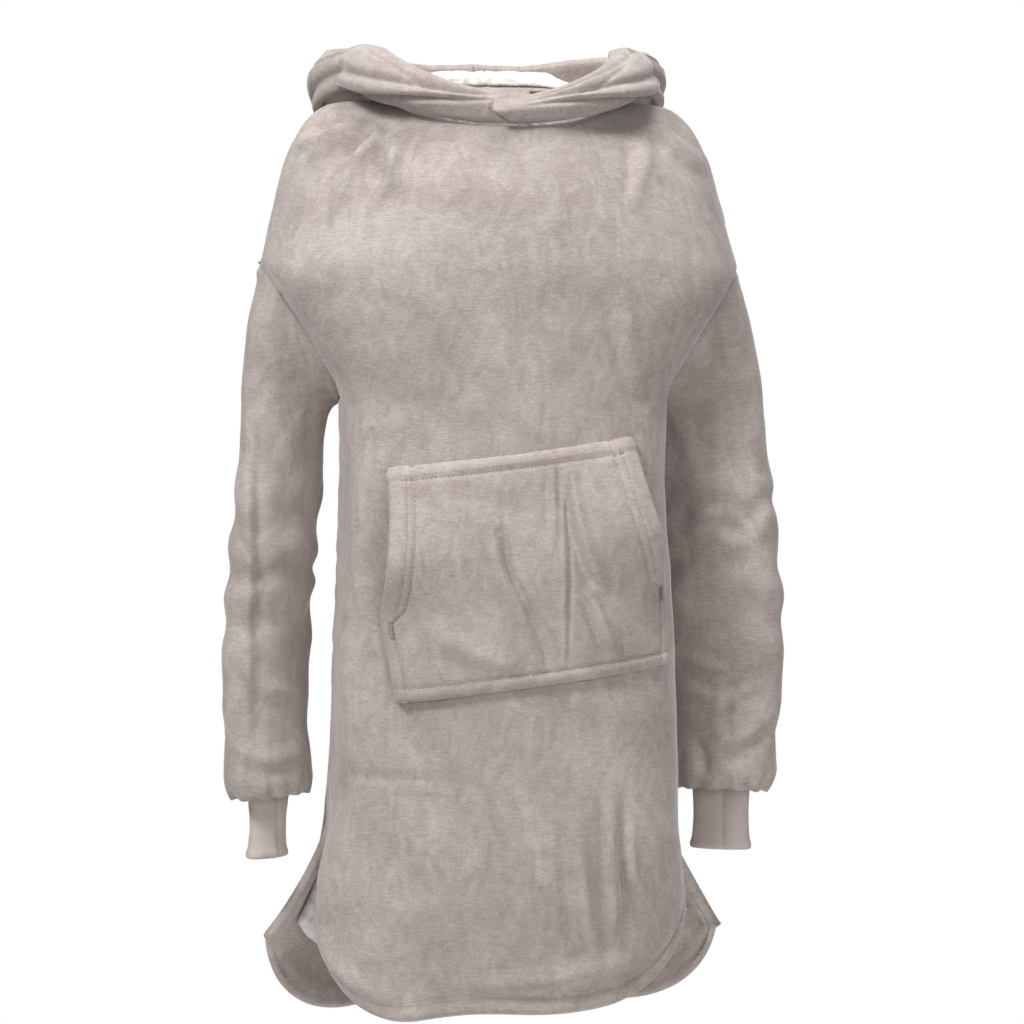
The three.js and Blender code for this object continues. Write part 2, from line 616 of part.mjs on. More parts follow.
// Inside the left side seam, above the slit, lying forward against the front lining.
function careLabel() {
  const t = mix(T_SLIT, T_PIT, 0.2);
  const seam = panelPoint(true, -1, t).addScaledVector(panelNormal(true, -1, t), -INSIDE);
  const at = seam.add(V(LAYER_GAP + LABEL_THICK, -LABEL_WIDE / 2 - 1, 0));
  return label("care_label", at, [LABEL_THICK, LABEL_WIDE, LABEL_TALL]);
}

// ---------------------------------------------------------------- materials
function cloth(color, roughness) {
  return new THREE.MeshStandardMaterial({ color, roughness, metalness: 0, side: THREE.DoubleSide });
}

const MATERIALS = {
  flannel: cloth(0xb2a8a4, 0.95),
  pile: cloth(0xeee9e8, 1),
  knit: cloth(0xb9b0ab, 0.9),
  tape: cloth(0xa89e99, 0.85),
  label: cloth(0xf2f0ee, 0.7),
  thread: cloth(0x948a86, 0.7),
};

// ---------------------------------------------------------------- the assembly
const robe = new THREE.Group();

function lining(build, name, key, looser = 0) {
  return build(name, key, LINING_DEPTH + looser, PILE - looser, "pile");
}

robe.add(
  bodyPanel("front_panel", true, 0, CLOTH, "flannel"),
  bodyPanel("back_panel", false, 0, CLOTH, "flannel"),
  lining(bodyPanel, "front_lining", true),
  lining(bodyPanel, "back_lining", false),
);
for (const [word, side] of [["left", -1], ["right", 1]]) {
  robe.add(
    sleeveShell(`${word}_sleeve`, side, 0, CLOTH, "flannel"),
    lining(sleeveShell, `${word}_sleeve_lining`, side),
    cuff(`${word}_cuff`, side),
    hoodShell(`${word}_hood_panel`, side, 0, CLOTH, "flannel"),
    lining(hoodShell, `${word}_hood_lining`, side, HOOD_EASE),
    pocketTack(`${word}_pocket_tack`, side),
  );
}
robe.add(
  kangarooPocket(),
  neckTape(),
  hangerLoop(),
  sizeLabel(),
  careLabel(),
);
for (const mesh of robe.children) mesh.name = mesh.geometry.name;

export default robe;
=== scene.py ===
"""Looks of the hooded blanket robe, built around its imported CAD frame.

Flannel fleece outside, curly pile inside, knit cuffs, rows of stitches, twill tape and blank labels.
The cloth surfaces repeat the CAD's own curves, and folds, seams and hems are raised on them.
Shape code is in millimetres, +Z up, the front facing -Y; add_mesh() turns it into metres.
"""
import math

import bpy
import numpy as np
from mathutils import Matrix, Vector


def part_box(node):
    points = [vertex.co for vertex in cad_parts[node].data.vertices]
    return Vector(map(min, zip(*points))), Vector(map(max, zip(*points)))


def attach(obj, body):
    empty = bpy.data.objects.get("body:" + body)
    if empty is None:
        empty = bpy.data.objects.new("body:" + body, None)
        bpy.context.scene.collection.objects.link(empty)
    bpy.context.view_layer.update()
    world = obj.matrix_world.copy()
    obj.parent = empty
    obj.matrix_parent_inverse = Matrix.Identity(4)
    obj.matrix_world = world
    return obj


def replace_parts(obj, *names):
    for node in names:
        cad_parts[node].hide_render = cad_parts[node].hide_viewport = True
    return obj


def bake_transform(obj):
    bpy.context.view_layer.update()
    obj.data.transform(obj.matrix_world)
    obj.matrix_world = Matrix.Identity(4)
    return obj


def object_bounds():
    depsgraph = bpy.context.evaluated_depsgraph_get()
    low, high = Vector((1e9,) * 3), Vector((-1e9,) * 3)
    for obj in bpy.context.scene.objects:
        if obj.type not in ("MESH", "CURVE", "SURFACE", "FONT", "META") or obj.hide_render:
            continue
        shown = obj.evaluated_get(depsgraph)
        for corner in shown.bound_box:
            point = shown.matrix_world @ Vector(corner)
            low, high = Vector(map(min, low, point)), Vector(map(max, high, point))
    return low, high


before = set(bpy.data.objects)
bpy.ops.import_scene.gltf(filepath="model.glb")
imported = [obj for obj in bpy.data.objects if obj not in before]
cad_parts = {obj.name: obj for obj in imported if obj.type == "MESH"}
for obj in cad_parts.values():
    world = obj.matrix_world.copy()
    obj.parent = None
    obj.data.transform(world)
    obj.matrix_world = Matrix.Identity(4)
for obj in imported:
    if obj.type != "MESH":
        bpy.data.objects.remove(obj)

cad_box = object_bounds()

# ---------------------------------------------------------------- sizes, as in the CAD
MM = 0.001
CLOTH = 4.0
PILE = 6.0
LINING_DEPTH = 4.7
INSIDE = LINING_DEPTH + PILE
HEM_Z = -890.0
BACK_DROP = 31.0
SLIT_TOP_Z = -715.0
PIT_Z = -300.0
NOTCH_Z = -165.0
CHEST_HALF = 162.0
SKIRT_HALF = 174.0
HEM_HALF = 186.0
BACK_HEM_HALF = 232.0
FRONT_DEPTH = 133.0
BACK_DEPTH = 106.0
SIDE_Y = -40.0
SEAM_ANGLE = math.radians(105)
HEM_CORNER = 92.0
SHOULDER_HALF = 238.0
ARMHOLE_HALF_DEPTH = 42.0
NECK_HALF = 104.0
NECK_FRONT = 95.0
NECK_BACK = 71.0
NECK_DIP = 30.0
NECK_RISE = 11.0
SHOULDER_ANGLE = math.radians(97)
YOKE_BOW = 9.0
SLEEVE_WIDE = 58.0
SLEEVE_THIN = 30.0
SLEEVE_X = 230.0
SLEEVE_END_Z = -684.0
SLEEVE_ROUND = 22.0
PIT_CLEAR = 8.0
TURN_OF = {-1: math.radians(50), 1: math.radians(28)}
CUFF_WIDE = 31.0
CUFF_THIN = 15.0
CUFF_LENGTH = 70.0
CUFF_TUCK = 6.0
CUFF_SEAT = INSIDE + 0.9
HOOD_BAG = 255.0
HOOD_STAND = 26.0
HOOD_ROLL = 44.0
HOOD_RIM_Z = 44.0
HOOD_CLEAR = 14.0
POCKET_MID_Z = -465.0
POCKET_TALL = 222.0
POCKET_TOP_HALF = 122.0
POCKET_SIDE_HALF = 146.0
POCKET_TILT = math.radians(7)
POCKET_SHIFT = 8.0
POCKET_CLOTH = 5.0
POCKET_SEAT = 1.2
POCKET_SWELL = 9.0
POCKET_GAPE = 27.0
POCKET_SEWN_SHARE = 0.36
T_SLIT, T_PIT, T_NOTCH = 0.2, 0.6, 0.76
ROUND, BACK_ROUND = 0.8, 1.0

# ---------------------------------------------------------------- sizes of the visible detail
FACING = 40.0  # the flannel turns in this far at the hem and slits before the pile starts
HEM_BAND = 15.0  # from a hem's edge to its row of stitches
HEM_THICK = 11.0  # a turned hem, flannel round pile
SEAM_DEEP = 2.6
RIM_BAND = 24.0  # the hood's turned rim
POCKET_BAND = 11.0
MOUTH_BAND = 24.0  # the wider hem of the pocket's hand openings
MOUTH_ROWS = 8.0  # between those hems' two rows of stitches
FRONT_TURN = math.radians(9)  # folds are laid out on an upright plane turned this far
FRONT_BOLD = 2.1  # the listed heights of the front's folds are raised by this
POCKET_BOLD = 1.9


# ---------------------------------------------------------------- small tools
def ease(x):
    x = np.clip(x, 0, 1)
    return x * x * (3 - 2 * x)


def part(x, a, b):
    return np.clip((x - a) / (b - a), 0, 1)


def mix(a, b, k):
    return a + (b - a) * k


def power(x, p):
    return np.sign(x) * np.abs(x) ** p


def vec(x, y, z):
    return np.stack(np.broadcast_arrays(x, y, z), -1).astype(float)


def unit(v):
    return v / np.maximum(np.linalg.norm(v, axis=-1, keepdims=True), 1e-9)


def bell(x, width):
    return np.exp(-((x / width) ** 2))


def sample(points, count):
    """A smooth curve through given points, evenly along its parameter."""
    p = np.array(points, float)
    p = np.vstack([2 * p[0] - p[1], p, 2 * p[-1] - p[-2]])
    k = np.linspace(0, len(p) - 3 - 1e-6, count)
    i = k.astype(int)
    u = (k - i)[:, None]
    a, b, c, d = p[i], p[i + 1], p[i + 2], p[i + 3]
    return 0.5 * (2 * b + (c - a) * u + (2 * a - 5 * b + 4 * c - d) * u**2 + (3 * b - a - 3 * c + d) * u**3)


def hashed(cell, seed):
    x, y, z = (cell[..., k].astype(np.int64) for k in range(3))
    h = (x * 374761393 + y * 668265263 + z * 974634777 + seed * 1442695041) & 0xFFFFFFFF
    h = ((h ^ (h >> 13)) * 1274126177) & 0xFFFFFFFF
    h = ((h ^ (h >> 16)) * 2246822519) & 0xFFFFFFFF
    return ((h ^ (h >> 15)) & 0xFFFF) / 65535.0


def noise(points, size, seed):
    """Smooth value noise from -1 to 1, with cells of the given size in millimetres."""
    q = points / np.array(size, float) + seed * 7.31
    cell = np.floor(q)
    f = q - cell
    w = f * f * f * (f * (f * 6 - 15) + 10)
    total = 0
    for corner in np.ndindex(2, 2, 2):
        share = np.prod(np.where(np.array(corner) == 1, w, 1 - w), axis=-1)
        total = total + share * hashed(cell + corner, seed)
    return total * 2 - 1


def cloudy(points, size, seed):
    size = np.array(size, float)
    return (noise(points, size, seed) + 0.5 * noise(points, size / 2.1, seed + 11)) / 1.5


def curls(points, size, seed):
    """Round lumps from 0 to 1, as of curly pile, with the given spacing."""
    q = points / size
    cell = np.floor(q)
    nearest = np.full(points.shape[:-1], 9.0)
    for offset in np.ndindex(3, 3, 3):
        at = cell + offset - 1
        jitter = np.stack([hashed(at, seed + k) for k in range(3)], -1)
        nearest = np.minimum(nearest, np.linalg.norm(at + 0.15 + 0.7 * jitter - q, axis=-1))
    return np.sqrt(1 - np.clip(nearest / 0.95, 0, 1) ** 2)


# ---------------------------------------------------------------- the CAD's curves
PIT_Y = SIDE_Y - (FRONT_DEPTH + SIDE_Y) * power(math.cos(SEAM_ANGLE), ROUND)
PIT_X = CHEST_HALF * math.sin(SEAM_ANGLE) ** ROUND


def ring_middle(side):
    return vec((side * SHOULDER_HALF + side * PIT_X) / 2, -6, (NOTCH_Z + PIT_Z) / 2)


def ring_point(side, turn):
    """Round the armhole: turn 0 is the shoulder notch, 90 the front, 180 the underarm."""
    middle = ring_middle(side)
    along = vec(side * SHOULDER_HALF, -8, NOTCH_Z) - middle
    down = middle - vec(side * PIT_X, PIT_Y, PIT_Z)
    reach = np.where((np.cos(turn) > 0)[..., None], along, down)
    thick = vec(side * -3.0, -ARMHOLE_HALF_DEPTH, -4.0)
    return middle + reach * np.cos(turn)[..., None] + thick * np.sin(turn)[..., None]


def neck_point(side, angle):
    front = ((1 + np.cos(angle)) / 2) ** 1.5
    mid = (NECK_BACK - NECK_FRONT) / 2
    half = (NECK_BACK + NECK_FRONT) / 2
    return vec(side * NECK_HALF * np.sin(angle), mid - half * np.cos(angle), mix(NECK_RISE, -NECK_DIP, front))


SHOULDER_CURVE = sample(
    [
        (SHOULDER_HALF, -8, NOTCH_Z),
        (SHOULDER_HALF - 11, -6, NOTCH_Z * 0.66),
        (SHOULDER_HALF - 24, -4, NOTCH_Z * 0.36),
        (SHOULDER_HALF - 44, -2, NOTCH_Z * 0.13),
        (mix(SHOULDER_HALF, NECK_HALF, 0.55), 0, -3),
        tuple(neck_point(1, np.array(SHOULDER_ANGLE))),
    ],
    120,
)
SHOULDER_WALK = np.append(0, np.cumsum(np.linalg.norm(np.diff(SHOULDER_CURVE, axis=0), axis=1)))
SHOULDER_WALK /= SHOULDER_WALK[-1]


def shoulder_seam(side, k):
    x, y, z = (np.interp(k, SHOULDER_WALK, SHOULDER_CURVE[:, i]) for i in range(3))
    return vec(side * x, y, z)


def cross_row(s, edge, middle_y, middle_z, seam_angle, bend):
    turn = np.abs(s) * seam_angle
    wide = np.sin(turn) ** bend / np.sin(seam_angle) ** bend
    end = power(np.cos(seam_angle), bend)
    share = (power(np.cos(turn), bend) - end) / (1 - end)
    y = mix(edge[..., 1], middle_y, share)
    return vec(edge[..., 0] * wide, y, mix(middle_z, edge[..., 2], np.abs(s) ** 3))


def hem_height(x, half, low):
    corner = np.clip((np.abs(x) - (half - HEM_CORNER)) / HEM_CORNER, 0, 1)
    return low + HEM_CORNER * (1 - np.sqrt(1 - corner**2))


def lower_rows(front, s, t, side):
    slit = part(t, 0, T_SLIT)
    body = part(t, T_SLIT, T_PIT)
    half = mix(SKIRT_HALF, CHEST_HALF, ease(body))
    seam = math.sin(SEAM_ANGLE) ** ROUND
    flare = ease(1 - slit) if front else (1 - slit) ** 1.3
    hem_half = HEM_HALF if front else BACK_HEM_HALF
    edge_y = mix(PIT_Y, -34.0 if front else 26.0, flare)
    edge = vec(side * mix(half * seam, hem_half, flare), edge_y, 0)
    middle_y = -FRONT_DEPTH - 4 * (1 - body) if front else BACK_DEPTH + 12 * (1 - body)
    angle = mix(SEAM_ANGLE, math.pi / 2, flare) if front else math.pi / 2
    p = cross_row(s, edge, middle_y, 0.0, angle, ROUND if front else BACK_ROUND)
    low = hem_height(p[..., 0], np.abs(edge[..., 0]), HEM_Z if front else HEM_Z - BACK_DROP)
    p[..., 2] = np.where(t < T_SLIT, mix(low, SLIT_TOP_Z, slit), mix(SLIT_TOP_Z, PIT_Z, body))
    return p


def armhole_rows(front, s, t, side):
    k = part(t, T_PIT, T_NOTCH)
    turn = mix(math.pi, 0.0 if front else 2 * math.pi, k)
    edge = ring_point(side, turn)
    angle = mix(SEAM_ANGLE, math.pi / 2, ease(k * 2)) if front else math.pi / 2
    middle_y = -FRONT_DEPTH if front else BACK_DEPTH
    return cross_row(s, edge, middle_y, mix(PIT_Z, NOTCH_Z, k), angle, ROUND if front else BACK_ROUND)


def neck_angle(front, s):
    from_seam = np.abs(s)
    return SHOULDER_ANGLE * from_seam if front else math.pi - (math.pi - SHOULDER_ANGLE) * from_seam


def yoke_rows(front, s, t, side):
    k = part(t, T_NOTCH, 1)
    low = armhole_rows(front, s, np.full_like(t, T_NOTCH), side)
    p = mix(low, neck_point(side, neck_angle(front, s)), k[..., None])
    straight = mix(shoulder_seam(side, 0 * k), shoulder_seam(side, 0 * k + 1), k[..., None])
    p = p + (shoulder_seam(side, k) - straight) * (np.abs(s) ** 2.2)[..., None]
    p[..., 1] += (-YOKE_BOW if front else YOKE_BOW) * np.sin(math.pi * k) * (1 - s * s)
    return p


def panel_point(front, s, t):
    s, t = np.broadcast_arrays(np.asarray(s, float), np.asarray(t, float))
    side = np.where(s < 0, -1.0, 1.0)
    low, arm, yoke = (rows(front, s, t, side) for rows in (lower_rows, armhole_rows, yoke_rows))
    pick = t[..., None]
    return np.where(pick <= T_PIT, low, np.where(pick <= T_NOTCH, arm, yoke))


def flat_oval(side, x, y, z, wide, thin, turn):
    flat_turn = TURN_OF[side]
    along = vec(side * math.cos(flat_turn), -math.sin(flat_turn), 0)
    front = vec(-side * math.sin(flat_turn), -math.cos(flat_turn), 0)
    return (
        vec(side * x, y, z)
        + along * (wide * np.cos(turn))[..., None]
        + front * (thin * np.sin(turn))[..., None]
    )


def sleeve_point(side, v, turn):
    v, turn = np.broadcast_arrays(np.asarray(v, float), np.asarray(turn, float))
    straight = part(v, 0, 0.9)
    tuck = part(v, 0.9, 1)
    low_z = SLEEVE_END_Z + SLEEVE_ROUND
    z = mix(mix((NOTCH_Z + PIT_Z) / 2, low_z, straight), SLEEVE_END_Z, tuck)
    tilt = (NOTCH_Z - PIT_Z) / 2 * np.maximum(0, 1 - straight * 2.4) ** 1.6
    pit_room = PIT_CLEAR * np.sin(math.pi * part(straight, 0, 0.3))
    x = mix(SHOULDER_HALF - 26, SLEEVE_X, ease(straight)) + pit_room
    slack = 1 + 0.06 * np.sin(math.pi * straight)
    drawn = mix(1, 0.86, ease(part(straight, 0.85, 1)))
    wide = mix(SLEEVE_WIDE * slack * drawn, CUFF_WIDE + CUFF_SEAT, ease(tuck))
    thin = mix(SLEEVE_THIN * slack, CUFF_THIN + CUFF_SEAT, ease(tuck))
    tube = flat_oval(side, x, 0, z + tilt * np.cos(turn), wide, thin, turn)
    underarm = (1 - np.cos(turn)) / 2
    start = ring_point(side, turn) + vec(side * 2.0 * underarm, 0, -0.4)
    return mix(start, tube, ease(part(straight, 0, 0.36))[..., None])


HOOD_FRONT = [[0, 0], [3, 4], [7, 9], [9, 14], [10, 19], [8, 24], [5, 28], [2, 31]]
HOOD_SIDE = [
    [0, 0],
    [16, 8],
    [34, 7],
    [HOOD_ROLL + 7, 11],
    [HOOD_ROLL + 16, 26],
    [HOOD_ROLL + 7, 45],
    [28, 54],
    [8, 52],
]
HOOD_BACK = [
    [0, 0],
    [14, HOOD_STAND],
    [42, -HOOD_BAG * 0.25],
    [50, -HOOD_BAG * 0.76],
    [62, -HOOD_BAG * 0.97],
    [HOOD_ROLL + 44, -HOOD_BAG * 0.97],
    [HOOD_ROLL + 55, -HOOD_BAG * 0.7],
    [HOOD_ROLL + 46, HOOD_RIM_Z - NECK_RISE],
]


def soft_curve(knots, w):
    """A uniform cubic B-spline over knots, a list of arrays, at w from 0 to 1."""
    last = len(knots) - 1
    row = np.stack([2 * knots[0] - knots[1], *knots, 2 * knots[last] - knots[last - 1]])
    i = np.minimum((w * last).astype(int), last - 1)
    u = w * last - i
    weights = [(1 - u) ** 3, 3 * u**3 - 6 * u**2 + 4, -3 * u**3 + 3 * u**2 + 3 * u + 1, u**3]
    return sum(np.take_along_axis(row, (i + j)[None], 0)[0] * k / 6 for j, k in enumerate(weights))


def hood_point(side, angle, w):
    angle, w = np.broadcast_arrays(np.asarray(angle, float), np.asarray(w, float))
    seam = neck_point(side, angle)
    front = np.cos(np.minimum(angle, math.pi / 2)) ** 2
    back = ease(part(angle, math.radians(92), math.radians(160)))
    lean = mix(angle, math.pi, 0.8 * ease(part(angle, math.radians(93), math.radians(128))))
    out = vec(side * np.sin(lean), -np.cos(lean), 0)
    reach = (BACK_DEPTH + HOOD_CLEAR - seam[..., 1]) / np.maximum(0.2, out[..., 1]) - 42
    push = np.maximum(0, reach) * ease(part(angle, math.radians(97), math.radians(125)))
    across, up = [], []
    for i, (x, z) in enumerate(HOOD_BACK):
        (fx, fz), (sx, sz) = HOOD_FRONT[i], HOOD_SIDE[i]
        far = ease(min(i / 2, 1)) * push
        across.append(mix(mix(sx, x, back**0.4), fx, front) + far)
        up.append(mix(mix(sz, z, back), fz, front))
    p = seam + out * soft_curve(across, w)[..., None] + vec(0, 0, soft_curve(up, w))
    return p + hood_crossing(side, angle, w)


def hood_crossing(side, angle, w):
    """At the throat the right half of the hood laps over the left one."""
    near = bell(angle, 0.3) * ease(w / 0.6)
    over = side > 0
    return vec((-19 if over else 17) * near, (-10 if over else 7) * near, (-7 if over else 3) * near)


def walk_table(front, t_rows, half_count=160):
    """For each panel row, how far round the cloth each column is from the middle."""
    s = np.linspace(0, 0.98, half_count)
    p = panel_point(front, s[None, :], t_rows[:, None])
    steps = np.linalg.norm(np.diff(p, axis=1), axis=2)
    return s, np.hstack([np.zeros((len(t_rows), 1)), np.cumsum(steps, axis=1)])


POCKET_T = np.linspace(T_SLIT, T_PIT, 90)
POCKET_S, POCKET_WALK = walk_table(True, POCKET_T)


def pocket_plane(p, q):
    """Distance round the body and height of the pocket's point p across, q up."""
    sewn = part(q, 0, POCKET_SEWN_SHARE)
    hand = part(q, POCKET_SEWN_SHARE, 1)
    low = mix(POCKET_SIDE_HALF - 6, POCKET_SIDE_HALF, sewn)
    half = mix(low, POCKET_TOP_HALF, np.sin(hand * math.pi / 2) ** 1.1)
    x, z = p * half, (q - 0.5) * POCKET_TALL
    c, d = math.cos(POCKET_TILT), math.sin(POCKET_TILT)
    return POCKET_SHIFT + x * c - z * d, POCKET_MID_Z + z * c + x * d, half


def pocket_point(p, q, lift):
    p, q = np.broadcast_arrays(np.asarray(p, float), np.asarray(q, float))
    x, z, _ = pocket_plane(p, q)
    t = mix(T_SLIT, T_PIT, (z - SLIT_TOP_Z) / (PIT_Z - SLIT_TOP_Z))
    row = np.clip((t - T_SLIT) / (T_PIT - T_SLIT) * (len(POCKET_T) - 1), 0, len(POCKET_T) - 1.001)
    s = np.zeros_like(x)
    for index in np.ndindex(x.shape):
        i, f = int(row[index]), row[index] % 1
        walk = mix(POCKET_WALK[i], POCKET_WALK[i + 1], f)
        s[index] = np.interp(abs(x[index]), walk, POCKET_S) * np.sign(x[index])
    h = 0.01
    base = panel_point(True, s, t)
    around = panel_point(True, s + h, t) - panel_point(True, s - h, t)
    n = unit(np.cross(around, panel_point(True, s, t + h) - base))
    across = np.abs(p)
    up_down = np.sin(math.pi * np.clip(q, 0, 1)) ** 0.6
    open_above = ease(part(q, POCKET_SEWN_SHARE * 0.9, 0.62))
    swell = POCKET_SWELL * (1 - across**4 * (1 - open_above))
    gape = POCKET_GAPE * open_above * across**1.4
    lifted = base + n * (POCKET_SEAT + up_down * swell + lift)[..., None]
    return lifted + vec(0, -up_down * gape, 0)


# ---------------------------------------------------------------- folds
def on_front(p):
    """Across and up on the upright plane that the folds are laid out on."""
    return p[..., 0] * math.cos(FRONT_TURN) - p[..., 1] * math.sin(FRONT_TURN), p[..., 2]


def fold(u, z, path, width, height, lean=0.5):
    """A soft ridge along a path, with a hollow on its one side; a negative height is a crease."""
    line = sample(path, 8 * len(path))
    best = np.full(u.shape, 1e9)
    signed = np.zeros(u.shape)
    along = np.zeros(u.shape)
    for i, (a, b) in enumerate(zip(line[:-1], line[1:])):
        d = b - a
        k = np.clip(((u - a[0]) * d[0] + (z - a[1]) * d[1]) / (d @ d), 0, 1)
        du, dz = u - a[0] - k * d[0], z - a[1] - k * d[1]
        far = np.hypot(du, dz)
        nearer = far < best
        best = np.where(nearer, far, best)
        signed = np.where(nearer, np.sign(d[0] * dz - d[1] * du) * far, signed)
        along = np.where(nearer, (i + k) / (len(line) - 1), along)
    taper = np.sin(math.pi * np.clip(along, 0.02, 0.98)) ** 0.7
    return height * taper * (bell(signed, width) - lean * bell(signed + 1.7 * width, width))


def folds(u, z, rows):
    return sum(fold(u, z, *row) for row in rows)


FRONT_FOLDS = [
    ([(122, -205), (130, -245), (146, -288)], 8, 4.0, 0.5),
    ([(48, -280), (50, -302), (47, -328)], 3, -1.6, 0.3),
    ([(76, -582), (84, -602), (98, -624)], 5, 3.0, 0.6),
    ([(-172, -664), (-100, -668), (-30, -671)], 5, -1.8, 0.4),
    ([(78, -690), (83, -776), (92, -827), (112, -872)], 8, 4.5, 0.6),
    ([(110, -676), (113, -760), (112, -868)], 5, 2.6, 0.5),
    ([(124, -680), (125, -760), (127, -850)], 4, -2.2, 0.5),
    ([(130, -712), (133, -760), (154, -800)], 6, 3.5, 0.6),
    ([(-198, -806), (-156, -862), (-100, -900)], 15, 9.0, 0.7),
    ([(-150, -700), (-162, -760), (-178, -815)], 12, 5.0, 0.5),
    ([(-30, -872), (60, -866), (150, -846)], 10, 4.0, 0.5),
    ([(-120, -330), (-135, -420), (-132, -520)], 14, 3.5, 0.4),
    ([(-150, -520), (-140, -600), (-146, -680)], 12, 4.0, 0.5),
    ([(140, -330), (146, -360), (150, -400)], 9, 2.5, 0.4),
]
POCKET_FOLDS = [
    ([(4, -428), (13, -467), (32, -506), (52, -556)], 5, -4.2, 0.7),
    ([(68, -352), (80, -415), (93, -459), (105, -480)], 6, 4.0, 0.7),
    ([(69, -358), (70, -460), (69, -565)], 2.6, -2.0, 0.5),
    ([(90, -488), (106, -528), (118, -548)], 5, 3.6, 0.7),
    ([(54, -356), (55, -400), (57, -444)], 3.5, 1.8, 0.6),
    ([(-60, -520), (-20, -548), (30, -560)], 10, 2.4, 0.4),
]
SLEEVE_FOLDS = {
    -1: [
        ([(-236, -300), (-232, -450), (-236, -640)], 7, -4.5, 0.6),
        ([(-200, -540), (-190, -600), (-186, -676)], 7, -5.0, 0.6),
        ([(-252, -560), (-225, -585), (-196, -590)], 9, 3.5, 0.6),
        ([(-254, -640), (-228, -655), (-200, -648)], 8, 4.0, 0.6),
        ([(-215, -330), (-195, -380), (-192, -450)], 10, 4.0, 0.5),
    ],
    1: [
        ([(220, -650), (246, -640), (276, -618)], 7, 5.0, 0.7),
        ([(198, -420), (225, -414), (262, -432)], 8, 3.5, 0.6),
        ([(232, -560), (233, -610), (231, -662)], 5, -3.5, 0.6),
        ([(186, -556), (220, -572), (268, -560)], 8, 3.5, 0.7),
        ([(190, -590), (226, -600), (258, -588)], 7, 3.0, 0.7),
        ([(205, -640), (212, -668), (219, -686)], 6, -4.0, 0.6),
        ([(176, -310), (200, -372), (204, -470)], 12, 4.0, 0.5),
        ([(250, -290), (262, -400), (266, -520)], 12, 3.0, 0.5),
    ],
}


def fan(centre, reach, turns, width, height):
    """Tension folds that run out from one point."""
    rows = []
    for i, turn in enumerate(np.radians(turns)):
        near, far = 28 + 9 * (i % 2), reach * (1 - 0.18 * (i % 3))
        way = np.array([math.cos(turn), math.sin(turn)])
        bow = np.array([-way[1], way[0]]) * 7 * (-1) ** i
        points = [centre + way * near, centre + way * (near + far) / 2 + bow, centre + way * far]
        rows.append(([tuple(p) for p in points], width + i % 2, height, 0.6))
    return rows


LEFT_FAN = fan(np.array([-96.0, -12.0]), 128, (196, 212, 226, 240, 256, 272), 6.0, 4.0)
RIGHT_FAN = fan(np.array([138.0, -6.0]), 104, (268, 286, 304, 322), 7.0, 2.0)


# ---------------------------------------------------------------- meshes
def grid_normals(grid, tube, outward):
    """Unit normals of a grid of points, turned to agree with a rough outward direction."""
    across = (np.roll(grid, -1, 1) - np.roll(grid, 1, 1)) if tube else np.gradient(grid, axis=1)
    n = unit(np.cross(across, np.gradient(grid, axis=0)))
    return n * (1 if np.mean(np.sum(n * outward, -1)) > 0 else -1)


def edge_distances(grid):
    """How far along the cloth each point is from the first and last column and row."""
    cols = np.linalg.norm(np.diff(grid, axis=1), axis=2)
    rows = np.linalg.norm(np.diff(grid, axis=0), axis=2)
    left = np.hstack([np.zeros((len(grid), 1)), np.cumsum(cols, axis=1)])
    low = np.vstack([np.zeros((1, grid.shape[1])), np.cumsum(rows, axis=0)])
    return left, left[:, -1:] - left, low, low[-1:] - low


def on_cloth(grid, rows, cols, wrap=False):
    """Points of a finer or coarser grid, read off a cloth surface at fractions rows and cols of it."""
    g = np.concatenate([grid, grid[:, :1]], axis=1) if wrap else grid
    r, c = np.broadcast_arrays(rows * (g.shape[0] - 1.0), cols * (g.shape[1] - 1.0))
    i, j = np.clip(r.astype(int), 0, g.shape[0] - 2), np.clip(c.astype(int), 0, g.shape[1] - 2)
    u, v = (r - i)[..., None], (c - j)[..., None]
    return mix(mix(g[i, j], g[i, j + 1], v), mix(g[i + 1, j], g[i + 1, j + 1], v), u)


def add_mesh(name, points, faces, material):
    mesh = bpy.data.meshes.new(name)
    mesh.from_pydata((np.asarray(points) * MM).tolist(), [], [list(face) for face in faces])
    mesh.polygons.foreach_set("use_smooth", np.ones(len(mesh.polygons), bool))
    mesh.materials.append(material)
    mesh.update()
    piece = bpy.data.objects.new(name, mesh)
    bpy.context.scene.collection.objects.link(piece)
    return piece


def shell_faces(rows, cols, tube):
    """Faces of a closed shell: two skins of rows by cols points, and a rounded rim between them."""
    top = np.arange(rows * cols).reshape(rows, cols)
    wrapped = np.hstack([top, top[:, :1]]) if tube else top
    a, b = wrapped[:-1, :-1], wrapped[:-1, 1:]
    c, d = wrapped[1:, 1:], wrapped[1:, :-1]
    outer = np.stack([a, b, c, d], -1).reshape(-1, 4)
    under = outer[:, ::-1] + rows * cols
    if tube:
        loops = [top[0], top[-1][::-1]]
    else:
        loops = [np.concatenate([top[0], top[1:, -1], top[-1, -2::-1], top[-2:0:-1, 0]])]
    faces, used = [outer, under], 2 * rows * cols
    for loop in loops:
        after = np.roll(loop, -1)
        rim = used + np.arange(len(loop))
        rim_after = np.roll(rim, -1)
        faces.append(np.stack([after, loop, rim, rim_after], -1))
        faces.append(np.stack([rim_after, rim, loop + rows * cols, after + rows * cols], -1))
        used += len(loop)
    return np.vstack(faces), loops


